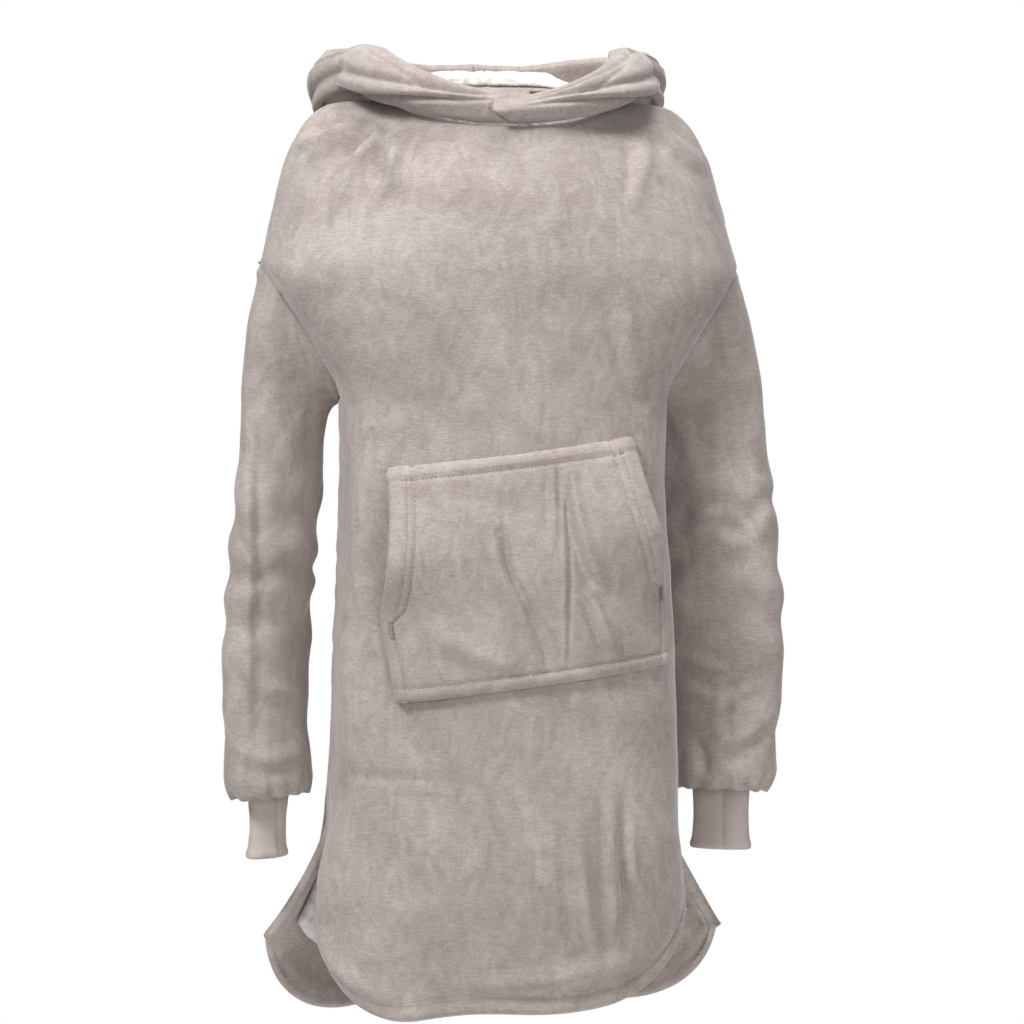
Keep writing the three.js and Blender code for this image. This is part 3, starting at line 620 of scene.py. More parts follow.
def add_shell(name, outer, inner, tube, material, bulge=0.4):
    rows, cols = outer.shape[:2]
    faces, loops = shell_faces(rows, cols, tube)
    points = [outer.reshape(-1, 3), inner.reshape(-1, 3)]
    for loop in loops:
        r, c = loop // cols, loop % cols
        next_in = outer[np.clip(r, 1, rows - 2), c if tube else np.clip(c, 1, cols - 2)]
        edge, under = outer[r, c], inner[r, c]
        away = unit(edge - next_in)
        points.append((edge + under) / 2 + away * np.linalg.norm(edge - under, axis=1)[:, None] * bulge)
    points = np.vstack(points)
    corners = points[faces[:, :3]]
    if np.sum(corners[:, 0] * np.cross(corners[:, 1], corners[:, 2])) < 0:
        faces = faces[:, ::-1]
    return add_mesh(name, points, faces, material)


# ---------------------------------------------------------------- materials
class Nodes:
    """A small helper round a material's node tree."""

    def __init__(self, name):
        self.material = bpy.data.materials.new(name)
        self.material.use_nodes = True
        self.tree = self.material.node_tree
        self.shader = self.tree.nodes["Principled BSDF"]
        self.place = self.add("ShaderNodeTexCoord").outputs["Object"]

    def add(self, kind, **values):
        node = self.tree.nodes.new(kind)
        for key, value in values.items():
            setattr(node, key, value)
        return node

    def link(self, start, end):
        self.tree.links.new(start, end)

    def spread(self, scale):
        mapping = self.add("ShaderNodeMapping")
        mapping.inputs["Scale"].default_value = scale
        self.link(self.place, mapping.inputs["Vector"])
        return mapping.outputs["Vector"]

    def noise(self, scale, detail=3.0, distortion=0.0, stretch=(1, 1, 1)):
        node = self.add("ShaderNodeTexNoise")
        node.inputs["Scale"].default_value = scale
        node.inputs["Detail"].default_value = detail
        node.inputs["Distortion"].default_value = distortion
        self.link(self.spread(stretch), node.inputs["Vector"])
        return node.outputs["Fac"]

    def cells(self, scale, stretch=(1, 1, 1)):
        node = self.add("ShaderNodeTexVoronoi")
        node.inputs["Scale"].default_value = scale
        self.link(self.spread(stretch), node.inputs["Vector"])
        return node.outputs["Distance"]

    def waves(self, scale, direction="DIAGONAL", distortion=0.0):
        node = self.add("ShaderNodeTexWave", bands_direction=direction)
        node.inputs["Scale"].default_value = scale
        node.inputs["Distortion"].default_value = distortion
        self.link(self.place, node.inputs["Vector"])
        return node.outputs["Fac"]

    def ramp(self, factor, stops):
        node = self.add("ShaderNodeValToRGB")
        ends = node.color_ramp.elements
        while len(ends) < len(stops):
            ends.new(0.5)
        for end, (at, color) in zip(ends, stops):
            end.position = at
            end.color = (*color, 1)
        self.link(factor, node.inputs["Fac"])
        return node.outputs["Color"]

    def blend(self, kind, share, a, b):
        node = self.add("ShaderNodeMix", data_type="RGBA", blend_type=kind)
        node.inputs["Factor"].default_value = share
        self.link(a, node.inputs["A"])
        self.link(b, node.inputs["B"])
        return node.outputs["Result"]

    def bumps(self, *layers):
        """Layers of (height output, strength, distance in metres), each on top of the last."""
        below = None
        for height, strength, distance in layers:
            node = self.add("ShaderNodeBump")
            node.inputs["Strength"].default_value = strength
            node.inputs["Distance"].default_value = distance
            self.link(height, node.inputs["Height"])
            if below:
                self.link(below, node.inputs["Normal"])
            below = node.outputs["Normal"]
        self.link(below, self.shader.inputs["Normal"])

    def finish(self, roughness, sheen=0.0, sheen_roughness=0.5, specular=0.2):
        self.shader.inputs["Roughness"].default_value = roughness
        self.shader.inputs["Sheen Weight"].default_value = sheen
        self.shader.inputs["Sheen Roughness"].default_value = sheen_roughness
        self.shader.inputs["Specular IOR Level"].default_value = specular
        return self.material


def grey(r, g, b):
    """A colour from its 0 to 255 screen values, as the shader's linear numbers."""
    return tuple(((c / 255 + 0.055) / 1.055) ** 2.4 for c in (r, g, b))


def flannel():
    n = Nodes("flannel")
    patches = n.noise(7.0, 4.0, 1.6, (1, 1, 1.25))
    strokes = n.noise(26.0, 4.0, 2.2, (1.5, 1.5, 0.8))
    fibres = n.noise(420.0, 3.0, 0.6, (1, 1, 1.6))
    streaks = n.noise(160.0, 3.0, 0.2, (0.7, 0.7, 4.5))
    tones = [(0.28, grey(178, 168, 165)), (0.52, grey(191, 182, 178)), (0.74, grey(201, 194, 190))]
    base = n.ramp(patches, tones)
    brushed = [(0.3, grey(232, 228, 226)), (0.5, grey(243, 241, 240)), (0.72, grey(255, 255, 252))]
    nap = n.ramp(strokes, brushed)
    weave = n.ramp(streaks, [(0.32, grey(236, 234, 232)), (0.66, grey(255, 255, 255))])
    fuzz = n.ramp(fibres, [(0.3, grey(228, 226, 224)), (0.68, grey(255, 255, 255))])
    color = n.blend("MULTIPLY", 0.9, n.blend("MULTIPLY", 1.0, base, nap), weave)
    n.link(n.blend("MULTIPLY", 0.85, color, fuzz), n.shader.inputs["Base Color"])
    n.bumps(
        (n.noise(60.0, 3.0, 1.0, (1, 1, 0.8)), 0.25, 0.003),
        (streaks, 0.25, 0.0007),
        (fibres, 0.5, 0.0007),
    )
    return n.finish(0.95, sheen=0.45, sheen_roughness=0.42, specular=0.12)


def pile():
    n = Nodes("pile")
    tufts = n.cells(150.0)
    hairs = n.noise(520.0, 4.0, 1.5)
    tones = [(0.0, grey(250, 247, 244)), (0.55, grey(238, 233, 229)), (1.0, grey(206, 199, 195))]
    base = n.ramp(tufts, tones)
    soft = n.ramp(hairs, [(0.3, grey(232, 229, 226)), (0.7, grey(255, 255, 255))])
    n.link(n.blend("MULTIPLY", 0.8, base, soft), n.shader.inputs["Base Color"])
    n.bumps((tufts, 0.7, 0.002), (hairs, 0.6, 0.001))
    return n.finish(1.0, sheen=0.5, sheen_roughness=0.6, specular=0.1)


def knit():
    n = Nodes("knit")
    ribs = n.waves(190.0, "X", 1.2)
    courses = n.waves(210.0, "Z", 0.8)
    tone = n.noise(30.0, 3.0, 0.8)
    base = n.ramp(tone, [(0.3, grey(186, 176, 171)), (0.7, grey(199, 190, 185))])
    lines = n.ramp(courses, [(0.2, grey(236, 232, 230)), (0.8, grey(255, 255, 255))])
    n.link(n.blend("MULTIPLY", 0.7, base, lines), n.shader.inputs["Base Color"])
    n.bumps((n.noise(90.0, 3.0, 0.8), 0.3, 0.0016), (ribs, 0.25, 0.0004), (courses, 0.3, 0.0004))
    return n.finish(0.88, sheen=0.3, sheen_roughness=0.5, specular=0.15)


def twill():
    n = Nodes("tape")
    weave = n.waves(330.0, "DIAGONAL", 0.2)
    base = n.ramp(weave, [(0.25, grey(148, 138, 133)), (0.75, grey(180, 170, 165))])
    n.link(base, n.shader.inputs["Base Color"])
    n.bumps((weave, 0.5, 0.0004), (n.noise(700.0, 2.0), 0.3, 0.0003))
    return n.finish(0.82, sheen=0.15, specular=0.2)


def ribbon():
    n = Nodes("label")
    weft = n.waves(420.0, "Z", 0.1)
    base = n.ramp(weft, [(0.2, grey(236, 234, 231)), (0.8, grey(248, 247, 245))])
    n.link(base, n.shader.inputs["Base Color"])
    n.bumps((weft, 0.25, 0.0002), (n.noise(220.0, 2.0), 0.2, 0.0003))
    return n.finish(0.5, sheen=0.2, specular=0.45)


def thread():
    n = Nodes("thread")
    twist = n.waves(900.0, "DIAGONAL", 0.6)
    base = n.ramp(twist, [(0.2, grey(142, 132, 128)), (0.8, grey(172, 162, 157))])
    n.link(base, n.shader.inputs["Base Color"])
    n.bumps((twist, 0.5, 0.0002))
    return n.finish(0.6, sheen=0.1, specular=0.3)


FINISH = {
    "flannel": flannel(),
    "pile": pile(),
    "knit": knit(),
    "tape": twill(),
    "label": ribbon(),
    "thread": thread(),
}


# ---------------------------------------------------------------- body panels
PANEL_COLS = 128
PANEL_ROWS = 190


def panel_rows():
    spans = [(0, T_SLIT, 0.2), (T_SLIT, T_PIT, 0.46), (T_PIT, T_NOTCH, 0.15), (T_NOTCH, 1, 0.19)]
    rows = [np.linspace(a, b, int(PANEL_ROWS * share), endpoint=False) for a, b, share in spans]
    return np.append(np.concatenate(rows), 1.0)


def seam_profile(edge, grid, seed):
    """A sewn seam: the cloth dips into it and puckers a little along it."""
    pucker = noise(grid, (11, 11, 11), seed) * 0.8
    return -SEAM_DEEP * bell(edge, 3.2) + (1.1 + pucker) * bell(edge - 9, 6)


def hem_profile(edge):
    """A turned hem: a puffed edge band, then a groove under its stitches."""
    puff = 1.6 * np.sin(math.pi * np.clip(edge / HEM_BAND, 0, 1)) ** 0.8
    return puff - 2.0 * bell(edge - HEM_BAND, 2.2)


def panel_relief(front, grid, t):
    """Height of the folds, seams and hems on a body panel, and the distance to its open edges."""
    left, right, low, high = edge_distances(grid)
    flank = np.minimum(left, right)
    u, z = on_front(grid)
    open_edge = np.where(t < T_SLIT + 0.004, np.minimum(flank, low), low)
    sewn = np.where(t >= T_SLIT, np.minimum(flank, high), 1e3)
    h = 5.2 * cloudy(grid, (95, 95, 180), 3 + front) + 1.9 * cloudy(grid, (44, 44, 60), 8 + front)
    if front:
        h = h * mix(1, 0.45, ease(part(z, -330, -240)))
        h = h + FRONT_BOLD * folds(u, z, FRONT_FOLDS + LEFT_FAN + RIGHT_FAN)
    else:
        drape = np.sin(grid[..., 0] / 30 + 1.6 * noise(grid, (200, 200, 300), 21))
        h = h + 3.2 * drape * ease(part(-z, 330, 800)) + folds(grid[..., 0], z, BACK_FOLDS)
    edge = np.minimum(open_edge, sewn)
    h = h * ease(edge / 32)
    return h + seam_profile(sewn, grid, 5) + hem_profile(open_edge), open_edge


BACK_FOLDS = [
    ([(-150, -250), (-60, -330), (10, -360)], 12, 4.0, 0.5),
    ([(150, -250), (70, -350), (0, -400)], 12, 4.0, 0.5),
    ([(-120, -300), (-110, -450), (-124, -600)], 14, 4.0, 0.5),
    ([(110, -320), (124, -480), (112, -640)], 14, 4.0, 0.5),
    ([(-60, -560), (-70, -700), (-62, -860)], 12, 5.0, 0.5),
    ([(40, -540), (52, -700), (44, -870)], 12, 5.0, 0.5),
    ([(150, -620), (160, -720), (176, -840)], 14, 5.0, 0.5),
    ([(-150, -640), (-158, -740), (-172, -850)], 14, 5.0, 0.5),
]


def hem_sway(grid, front, t):
    """The front hem hangs lower at its left and rolls in a little."""
    loose = ease(1 - t / T_SLIT)
    moved = grid.copy()
    u = grid[..., 0]
    if front:
        moved[..., 2] -= loose * (10 - 0.07 * u + 4 * np.sin(u / 34))
        moved[..., 1] += loose**2 * 16
    else:
        moved[..., 2] -= loose * 5 * np.sin(u / 41 + 1)
        moved[..., 1] += loose * 8 * np.sin(np.abs(u) / 38)
    return moved


def body_panel(front):
    word = "front" if front else "back"
    s = np.linspace(-1, 1, PANEL_COLS)[None, :]
    t = panel_rows()[:, None] * np.ones_like(s)
    grid = hem_sway(panel_point(front, s, t), front, t)
    outward = grid * [1, 1, 0] + [0, 20, 0]
    height, open_edge = panel_relief(front, grid, t)
    outer = grid + grid_normals(grid, False, outward) * height[..., None]
    n = grid_normals(outer, False, outward)
    thick = mix(CLOTH - 0.6, HEM_THICK, ease(1 - open_edge / FACING))
    piece = add_shell(f"{word}_panel_cloth", outer, outer - n * thick[..., None], False, FINISH["flannel"])
    return piece, grid, outer, n


def body_lining(front, cloth, cut):
    word = "front" if front else "back"
    t = np.linspace(0.055, 0.985, 150)[:, None]
    inset = mix(0.03, FACING / 230, ease(part(T_SLIT + 0.03 - t, 0, 0.05)))
    s = np.linspace(-1, 1, 104)[None, :] * (1 - inset)
    t = t * np.ones_like(s)
    low_corner = part(np.abs(s), 0.55, 1) ** 2.2 * 0.02
    t = t + low_corner * (1 - ease(t / T_SLIT))
    rows = np.interp(t, panel_rows(), np.linspace(0, 1, len(panel_rows())))
    grid = on_cloth(cloth, rows, (s + 1) / 2)
    n = grid_normals(grid, False, grid * [1, 1, 0] + [0, 20, 0])
    lumps = 3.4 * curls(grid, 9.5, 40) + 1.4 * curls(grid, 5.2, 50)
    outer = grid - n * LINING_DEPTH
    inner = grid - n * (INSIDE - 2.6 + lumps)[..., None]
    return add_shell(f"{word}_pile", outer, inner, False, FINISH["pile"]), on_cloth(cut, rows, (s + 1) / 2)


# ---------------------------------------------------------------- sleeves
SLEEVE_ROWS = 150
SLEEVE_COLS = 100


def sleeve_relief(side, grid, v, turn):
    _, _, low, high = edge_distances(grid)
    u, z = on_front(grid)
    facing = ease(part(-unit(grid - grid.mean(axis=1, keepdims=True))[..., 1], -0.35, 0.25))
    fade = ease(low / 40) * ease(high / 16)
    h = 3.0 * cloudy(grid, (46, 46, 110), 60 + side) + 1.3 * cloudy(grid, (24, 24, 36), 66 + side)
    elbow = bell(z + 455, 95)
    h = h + elbow * 2.4 * np.sin(z / 9 + 2.5 * noise(grid, (40, 40, 60), 70 + side))
    h = h + facing * folds(u, z, SLEEVE_FOLDS[side])
    blouse = ease(part(v, 0.8, 0.93)) * (1 - ease(part(v, 0.965, 1)))
    gather = np.sin(turn * 13 + 1.4 * noise(grid, (20, 20, 40), 75)) * 1.9 * ease(part(v, 0.86, 0.98))
    return h * fade + 7.0 * blouse + gather * ease(high / 5) + seam_profile(low, grid, 77)


def sleeve_sag(grid, v, side):
    """The sleeve bags out over its cuff and bows outward on the way down."""
    moved = grid.copy()
    sag = ease(part(v, 0.84, 0.95)) * (1 - ease(part(v, 0.965, 1)))
    moved[..., 2] -= 13 * sag
    moved[..., 0] += side * 6 * np.sin(math.pi * part(v, 0.2, 1))
    return moved


def sleeve(side, word):
    turn = (np.arange(SLEEVE_COLS) / SLEEVE_COLS * 2 * math.pi)[None, :]
    v = np.linspace(0, 1, SLEEVE_ROWS)[:, None] * np.ones_like(turn)
    turn = turn * np.ones_like(v)
    grid = sleeve_sag(sleeve_point(side, v, turn), v, side)
    outward = grid - grid.mean(axis=1, keepdims=True)
    n = grid_normals(grid, True, outward)
    outer = grid + n * sleeve_relief(side, grid, v, turn)[..., None]
    n = grid_normals(outer, True, outward)
    piece = add_shell(f"{word}_sleeve_cloth", outer, outer - n * (CLOTH - 0.8), True, FINISH["flannel"])
    return piece, grid, outer


def sleeve_lining(side, word, cloth, cut):
    around = (np.arange(56) / 56)[None, :]
    v = np.linspace(0.05, 0.975, 90)[:, None] * np.ones_like(around)
    grid = on_cloth(cloth, v, around * np.ones_like(v), True)
    n = grid_normals(grid, True, grid - grid.mean(axis=1, keepdims=True))
    lumps = 2.6 * curls(grid, 9.5, 90)
    inner = grid - n * (INSIDE - 2 + lumps)[..., None]
    piece = add_shell(f"{word}_sleeve_pile", grid - n * LINING_DEPTH, inner, True, FINISH["pile"])
    return piece, on_cloth(cut, v, around * np.ones_like(v), True)


def cuff(side, word):
    rows, cols = 46, 110
    turn = (np.arange(cols) / cols * 2 * math.pi)[None, :] * np.ones((rows, 1))
    k = np.linspace(0, 1, rows)[:, None] * np.ones((1, cols))
    z = SLEEVE_END_Z + CUFF_TUCK - k * (CUFF_LENGTH + CUFF_TUCK)
    slim = 1 - 0.07 * np.sin(math.pi * k)
    grid = flat_oval(side, SLEEVE_X + 0 * k, 0, z, CUFF_WIDE * slim, CUFF_THIN * slim, turn)
    n = grid_normals(grid, True, grid - grid.mean(axis=1, keepdims=True))
    fade = ease(k / 0.12)
    limp = 2.2 if side < 0 else 0.9
    h = fade * limp * cloudy(grid, (16, 16, 26), 31 + side)
    h = h - fade * 1.6 * bell(np.sin(turn / 2 - math.radians(40)) * 30, 1.4)
    h = h + 1.3 * bell((1 - k) * CUFF_LENGTH - 3, 4)
    if side < 0:
        h = h - 5 * ease(k) * bell(np.sin((turn - math.radians(150)) / 2) * 30, 9)
    outer = grid + n * h[..., None]
    return add_shell(f"{word}_cuff_knit", outer, outer - n * 3.2, True, FINISH["knit"]), grid


# ---------------------------------------------------------------- hood
HOOD_COLS = 120
HOOD_ROWS = 110


def hood_relief(side, grid, angle, w):
    """The hood's rolls: two hollows run round it and meet at the throat, and its bag hangs in folds."""
    turn = np.degrees(angle)
    left, rim, _, high = edge_distances(grid)
    around = ease(part(turn, 8, 40)) * (1 - ease(part(turn, 110, 150)))
    first = mix(0.62, 0.36, ease(part(turn, 8, 75)))
    second = mix(0.74, 0.62, ease(part(turn, 8, 80)))
    h = -7.5 * around * bell(w - first, 0.055) - 6.5 * around * bell(w - second, 0.05)
    h = h + 3.0 * around * (bell(w - (first + second) / 2, 0.07) + bell(w - 0.2, 0.1) + bell(w - 0.84, 0.07))
    if side > 0:
        h = h - 5.0 * around * bell(w - 0.85, 0.03)
    bag = ease(part(turn, 125, 160)) * ease(part(w, 0.55, 0.7))
    smiles = 3.4 * np.sin(grid[..., 2] / 19 + 2 * noise(grid, (70, 70, 70), 91))
    h = h + bag * (smiles + 2.5 * cloudy(grid, (50, 50, 60), 92))
    h = h + 1.5 * cloudy(grid, (34, 34, 30), 95 + side)
    middle = np.where(turn > 90, high, 1e3)
    h = h * ease(left / 14 + 0.15) * ease(middle / 18)
    band = 1.4 * np.sin(math.pi * np.clip(rim / RIM_BAND, 0, 1)) ** 0.8 - 1.6 * bell(rim - RIM_BAND, 2.2)
    band = band * ease(part(left + rim, 40, 90))
    return h * ease((rim + 4) / 10) + band + seam_profile(left, grid, 97) * 0.7 - 0.9 * bell(middle, 3.5)


def hood(side, word):
    angle = np.linspace(0, math.pi, HOOD_ROWS)[:, None]
    w = np.linspace(0, 1, HOOD_COLS)[None, :] * np.ones_like(angle)
    angle = angle * np.ones_like(w)
    grid = hood_point(side, angle, w)
    seam_out = vec(side * np.sin(angle), -np.cos(angle), 0.25) * (w < 0.06)[..., None]
    n = grid_normals(grid, False, seam_out)
    outer = grid + n * hood_relief(side, grid, angle, w)[..., None]
    n = grid_normals(outer, False, seam_out)
    rim = edge_distances(grid)[1]
    thick = mix(CLOTH - 0.6, HEM_THICK - 1, ease(1 - rim / (RIM_BAND + 6)))
    piece = add_shell(f"{word}_hood_cloth", outer, outer - n * thick[..., None], False, FINISH["flannel"])
    return piece, grid, outer


def hood_lining(side, word, cloth, cut):
    angle = np.linspace(0.2, math.pi, 92)[:, None]
    k = np.linspace(0, 1, 128)[None, :] * np.ones_like(angle)
    angle = angle * np.ones_like(k)
    long = np.linalg.norm(np.diff(cut, axis=1), axis=2).sum(axis=1)
    reach = 1 - (RIM_BAND + 4) / np.interp(angle, np.linspace(0, math.pi, len(long)), long)
    w = mix(0.03, np.clip(reach, 0.45, 0.95), k)
    grid = on_cloth(cloth, angle / math.pi, w)
    seam_out = vec(side * np.sin(angle), -np.cos(angle), 0.25) * (w < 0.08)[..., None]
    n = grid_normals(grid, False, seam_out)
    lumps = 3.2 * curls(grid, 9.0, 80) + 1.3 * curls(grid, 5.0, 84)
    turn = np.degrees(angle)
    tight = 1 - ease(part(turn, 132, 148))
    room = ease(part(w, 0.0, 0.08)) * (1 - np.clip(tight, 0, 1))
    outer = grid - n * mix(CLOTH - 0.4, LINING_DEPTH + 0.6, room)[..., None]
    inner = grid - n * mix(CLOTH + 1.4, INSIDE - 2.8 + lumps, room)[..., None]
    piece = add_shell(f"{word}_hood_pile", outer, inner, False, FINISH["pile"])
    return piece, on_cloth(cut, angle / math.pi, w)


# ---------------------------------------------------------------- pocket
def pocket_edges(p, q):
    """Distances along the cloth to the pocket's side and to its top and bottom edges."""
    half = pocket_plane(p, q)[2]
    return (1 - np.abs(p)) * half, (1 - q) * POCKET_TALL, q * POCKET_TALL


def pocket_relief(p, q, base):
    side_edge, top, low = pocket_edges(p, q)
    mouth = ease(part(q, POCKET_SEWN_SHARE - 0.03, POCKET_SEWN_SHARE + 0.05))
    u, z = on_front(base)
    h = 1.2 * cloudy(base, (60, 60, 80), 33) + POCKET_BOLD * folds(u, z, POCKET_FOLDS)
    h = h * ease(np.minimum(np.minimum(side_edge, top), low) / 26)
    pucker = 0.5 * noise(base, (6, 6, 6), 36)
    for edge, band in ((top, POCKET_BAND), (low, POCKET_BAND)):
        puff = 1.5 * np.sin(math.pi * np.clip(edge / band, 0, 1)) ** 0.7
        h = h + puff - (1.7 + pucker) * bell(edge - band, 1.9)
    wide = mix(POCKET_BAND, MOUTH_BAND, mouth)
    h = h + 1.6 * np.sin(math.pi * np.clip(side_edge / wide, 0, 1)) ** 0.7
    h = h - (1.8 + pucker) * bell(side_edge - wide, 1.9)
    return h - mouth * (1.2 + pucker) * bell(side_edge - wide + MOUTH_ROWS, 1.7)


def pocket():
    cols, rows = 150, 112
    p = np.linspace(-1, 1, cols)[None, :] * np.ones((rows, 1))
    q = np.linspace(0, 1, rows)[:, None] * np.ones((1, cols))
    base = pocket_point(p, q, 0 * p)
    outward = base * [1, 1, 0]
    n = grid_normals(base, False, outward)
    outer = base + n * (POCKET_CLOTH + pocket_relief(p, q, base))[..., None]
    piece = add_shell("kangaroo_pocket_cloth", outer, base + n * 0.3, False, FINISH["flannel"], 0.45)
    return piece, base, outer, n


# ---------------------------------------------------------------- stitches, tape and labels
def even(points, normals, step):
    """Points and normals at even steps along a polyline."""
    walk = np.append(0, np.cumsum(np.linalg.norm(np.diff(points, axis=0), axis=1)))
    at = np.arange(step / 2, walk[-1], step)
    spots, ups = (np.stack([np.interp(at, walk, a[:, k]) for k in range(3)], -1) for a in (points, normals))
    return spots, unit(ups)


def stitches(name, rows, body, length=3.0, gap=1.3, radius=0.42):
    """Rows of short threads, each sunk at its ends; rows is a list of (points, normals). With no body,
    the caller rides the piece itself."""
    sides, rings = 6, 5
    ring = np.linspace(0, 2 * math.pi, sides, endpoint=False)
    along = np.linspace(-0.5, 0.5, rings)
    round_off = np.sqrt(np.clip(1 - (along * 1.98) ** 4, 0.05, 1))
    points, faces, used = [], [], 0
    for line, normals in rows:
        spots, ups = even(line, normals, length + gap)
        last = len(spots) - 1
        for i in range(len(spots)):
            ahead = spots[min(i + 1, last)] - spots[min(i, last - 1)] if last > 0 else line[-1] - line[0]
            way = unit(ahead)
            up = unit(ups[i] - way * (ups[i] @ way))
            beside = np.cross(way, up)
            start = used
            for a, fat in zip(along, round_off):
                rise = 0.25 - 1.1 * (2 * abs(a)) ** 3 * radius
                middle = spots[i] + way * a * length + up * rise
                rim = np.outer(np.cos(ring), up) + np.outer(np.sin(ring), beside)
                points.append(middle + radius * fat * rim)
            used = start + rings * sides
            for r in range(rings - 1):
                for c in range(sides):
                    d = (c + 1) % sides
                    a0, b0 = start + r * sides, start + (r + 1) * sides
                    faces.append((a0 + c, a0 + d, b0 + d, b0 + c))
            faces.append(tuple(start + c for c in range(sides))[::-1])
            faces.append(tuple(start + (rings - 1) * sides + c for c in range(sides)))
    piece = add_mesh(name, np.vstack(points), faces, FINISH["thread"])
    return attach(piece, body) if body else piece


def level_line(field, level, outer, normals, keep=None):
    """Points where a grid field crosses a level, one per row, on each half of the grid."""
    rows = []
    middle = field.shape[1] // 2
    for half in (slice(0, middle), slice(middle, None)):
        line, ups = [], []
        for r in range(field.shape[0]):
            f = field[r, half] - level
            cross = np.nonzero(np.diff(np.sign(f)))[0]
            if len(cross) == 0 or (keep is not None and not keep[r]):
                continue
            c = cross[0]
            k = f[c] / (f[c] - f[c + 1])
            line.append(mix(outer[r, half][c], outer[r, half][c + 1], k))
            ups.append(mix(normals[r, half][c], normals[r, half][c + 1], k))
        if len(line) > 2:
            rows.append((np.array(line), np.array(ups)))
    return rows


def column_line(field, level, outer, normals, keep):
    """The same, one point per column that keep allows."""
    line, ups = [], []
    for c in np.nonzero(keep)[0]:
        f = field[:, c] - level
        cross = np.nonzero(np.diff(np.sign(f)))[0]
        if len(cross) == 0:
            continue
        r = cross[0]
        k = f[r] / (f[r] - f[r + 1])
        line.append(mix(outer[r, c], outer[r + 1, c], k))
        ups.append(mix(normals[r, c], normals[r + 1, c], k))
    return [(np.array(line), np.array(ups))] if len(line) > 2 else []


def inside_neck(s, down, depth):
    """On the inner side of the back lining, down from the neckline."""
    s = np.asarray(s, float)
    side = np.where(s < 0, -1.0, 1.0)
    angle = neck_angle(False, s)
    out = unit(vec(side * np.sin(angle), -np.cos(angle), 0.25))
    high = panel_point(False, s, np.ones_like(s)) - out * depth
    t = np.full_like(s, 0.952)
    h = 0.01
    up = panel_point(False, s, t + h) - panel_point(False, s, t - h)
    n = unit(np.cross(up, panel_point(False, s + h, t) - panel_point(False, s - h, t)))
    n = n * np.sign(np.sum(n * out, -1, keepdims=True))
    low = panel_point(False, s, t) - n * depth
    return high + unit(low - high) * np.asarray(down, float)[..., None]


def tape_piece():
    s = np.linspace(-0.66, 0.66, 90)[None, :] * np.ones((9, 1))
    down = np.linspace(12.4, 0.4, 9)[:, None] * np.ones((1, 90))
    grid = inside_neck(s, down, INSIDE + 1.4)
    n = grid_normals(grid, False, vec(0 * s, -1 + 0 * s, 0))
    grid = grid + n * (0.3 * np.sin(down * 2.6))[..., None]
    return add_shell("neck_tape_twill", grid + n * 1.2, grid, False, FINISH["tape"], 0.3)


def loop_piece():
    lo, hi = (np.array(c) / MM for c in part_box("hanger_loop"))
    wide, tall, band = hi[0] - lo[0], hi[2] - lo[2], 6.0
    cx, cz = wide / 2 - band / 2, tall / 2 - band / 2
    corner = 6.0
    path = []
    for x, z, start in ((1, 1, 0), (-1, 1, 90), (-1, -1, 180), (1, -1, 270)):
        for a in np.radians(np.linspace(start, start + 90, 9)):
            path.append((x * (cx - corner) + corner * math.cos(a), z * (cz - corner) + corner * math.sin(a)))
    path = np.array(path)
    pairs = zip(path, np.roll(path, -1, 0))
    path = np.vstack([sample(np.vstack(pair), 3)[:-1] for pair in pairs])
    way = unit(np.roll(path, -1, 0) - np.roll(path, 1, 0))
    side = np.stack([way[:, 1], -way[:, 0]], -1)
    across = np.linspace(-band / 2, band / 2, 7)
    flat = path[None] + side[None] * across[:, None, None]
    y = (lo[1] + hi[1]) / 2 + 0 * flat[..., 0]
    ribs = 0.12 * np.cos(across * 2.2)[:, None]
    middle = (lo[2] + hi[2]) / 2
    outer = np.stack([flat[..., 0], y - 0.55 - ribs, flat[..., 1] + middle], -1)
    inner = np.stack([flat[..., 0], y + 0.55 + ribs, flat[..., 1] + middle], -1)
    return add_shell("hanger_loop_tape", outer, inner, True, FINISH["tape"], 0.3)


def label_piece(node, name, thin):
    """A blank satin label: a thin curved ribbon in its CAD box."""
    lo, hi = (np.array(c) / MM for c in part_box(node))
    flat = [k for k in range(3) if k != thin]
    a = np.linspace(0, 1, 26)[None, :] * np.ones((34, 1))
    b = np.linspace(0, 1, 34)[:, None] * np.ones((1, 26))
    grid = np.zeros((34, 26, 3))
    grid[..., flat[0]] = mix(lo[flat[0]] + 0.3, hi[flat[0]] - 0.3, a)
    grid[..., flat[1]] = mix(lo[flat[1]] + 0.3, hi[flat[1]] - 0.3, b)
    bow = 0.35 * np.sin(math.pi * a) * (1 - b) + 0.15 * np.sin(9 * b)
    grid[..., thin] = (lo[thin] + hi[thin]) / 2 + bow
    under = grid.copy()
    under[..., thin] += 0.35
    return add_shell(name, grid, under, False, FINISH["label"], 0.3)


def tack_piece(node, name, side):
    """A dense bar of thread over the foot of a hand opening."""
    q = POCKET_SEWN_SHARE - 0.05
    rows = []
    for shift in np.linspace(-0.5, 0.5, 15):
        at_q = q + shift * 13 / POCKET_TALL
        p = side * np.linspace(0.925, 0.972, 5)
        line = pocket_point(p, at_q + 0 * p, POCKET_CLOTH + 1.4 + 0 * p)
        rows.append((line, np.tile(unit(np.array([side * 0.4, -1, 0])), (5, 1))))
    piece = stitches(name, rows, None, length=5.2, gap=0.05, radius=0.5)
    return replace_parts(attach(piece, "robe_body"), node)


def declare(piece, body, nodes):
    """Puts a piece on its body, if it has one, and hides the CAD nodes that it stands for."""
    if body:
        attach(piece, body)
    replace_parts(piece, *nodes)
    return piece


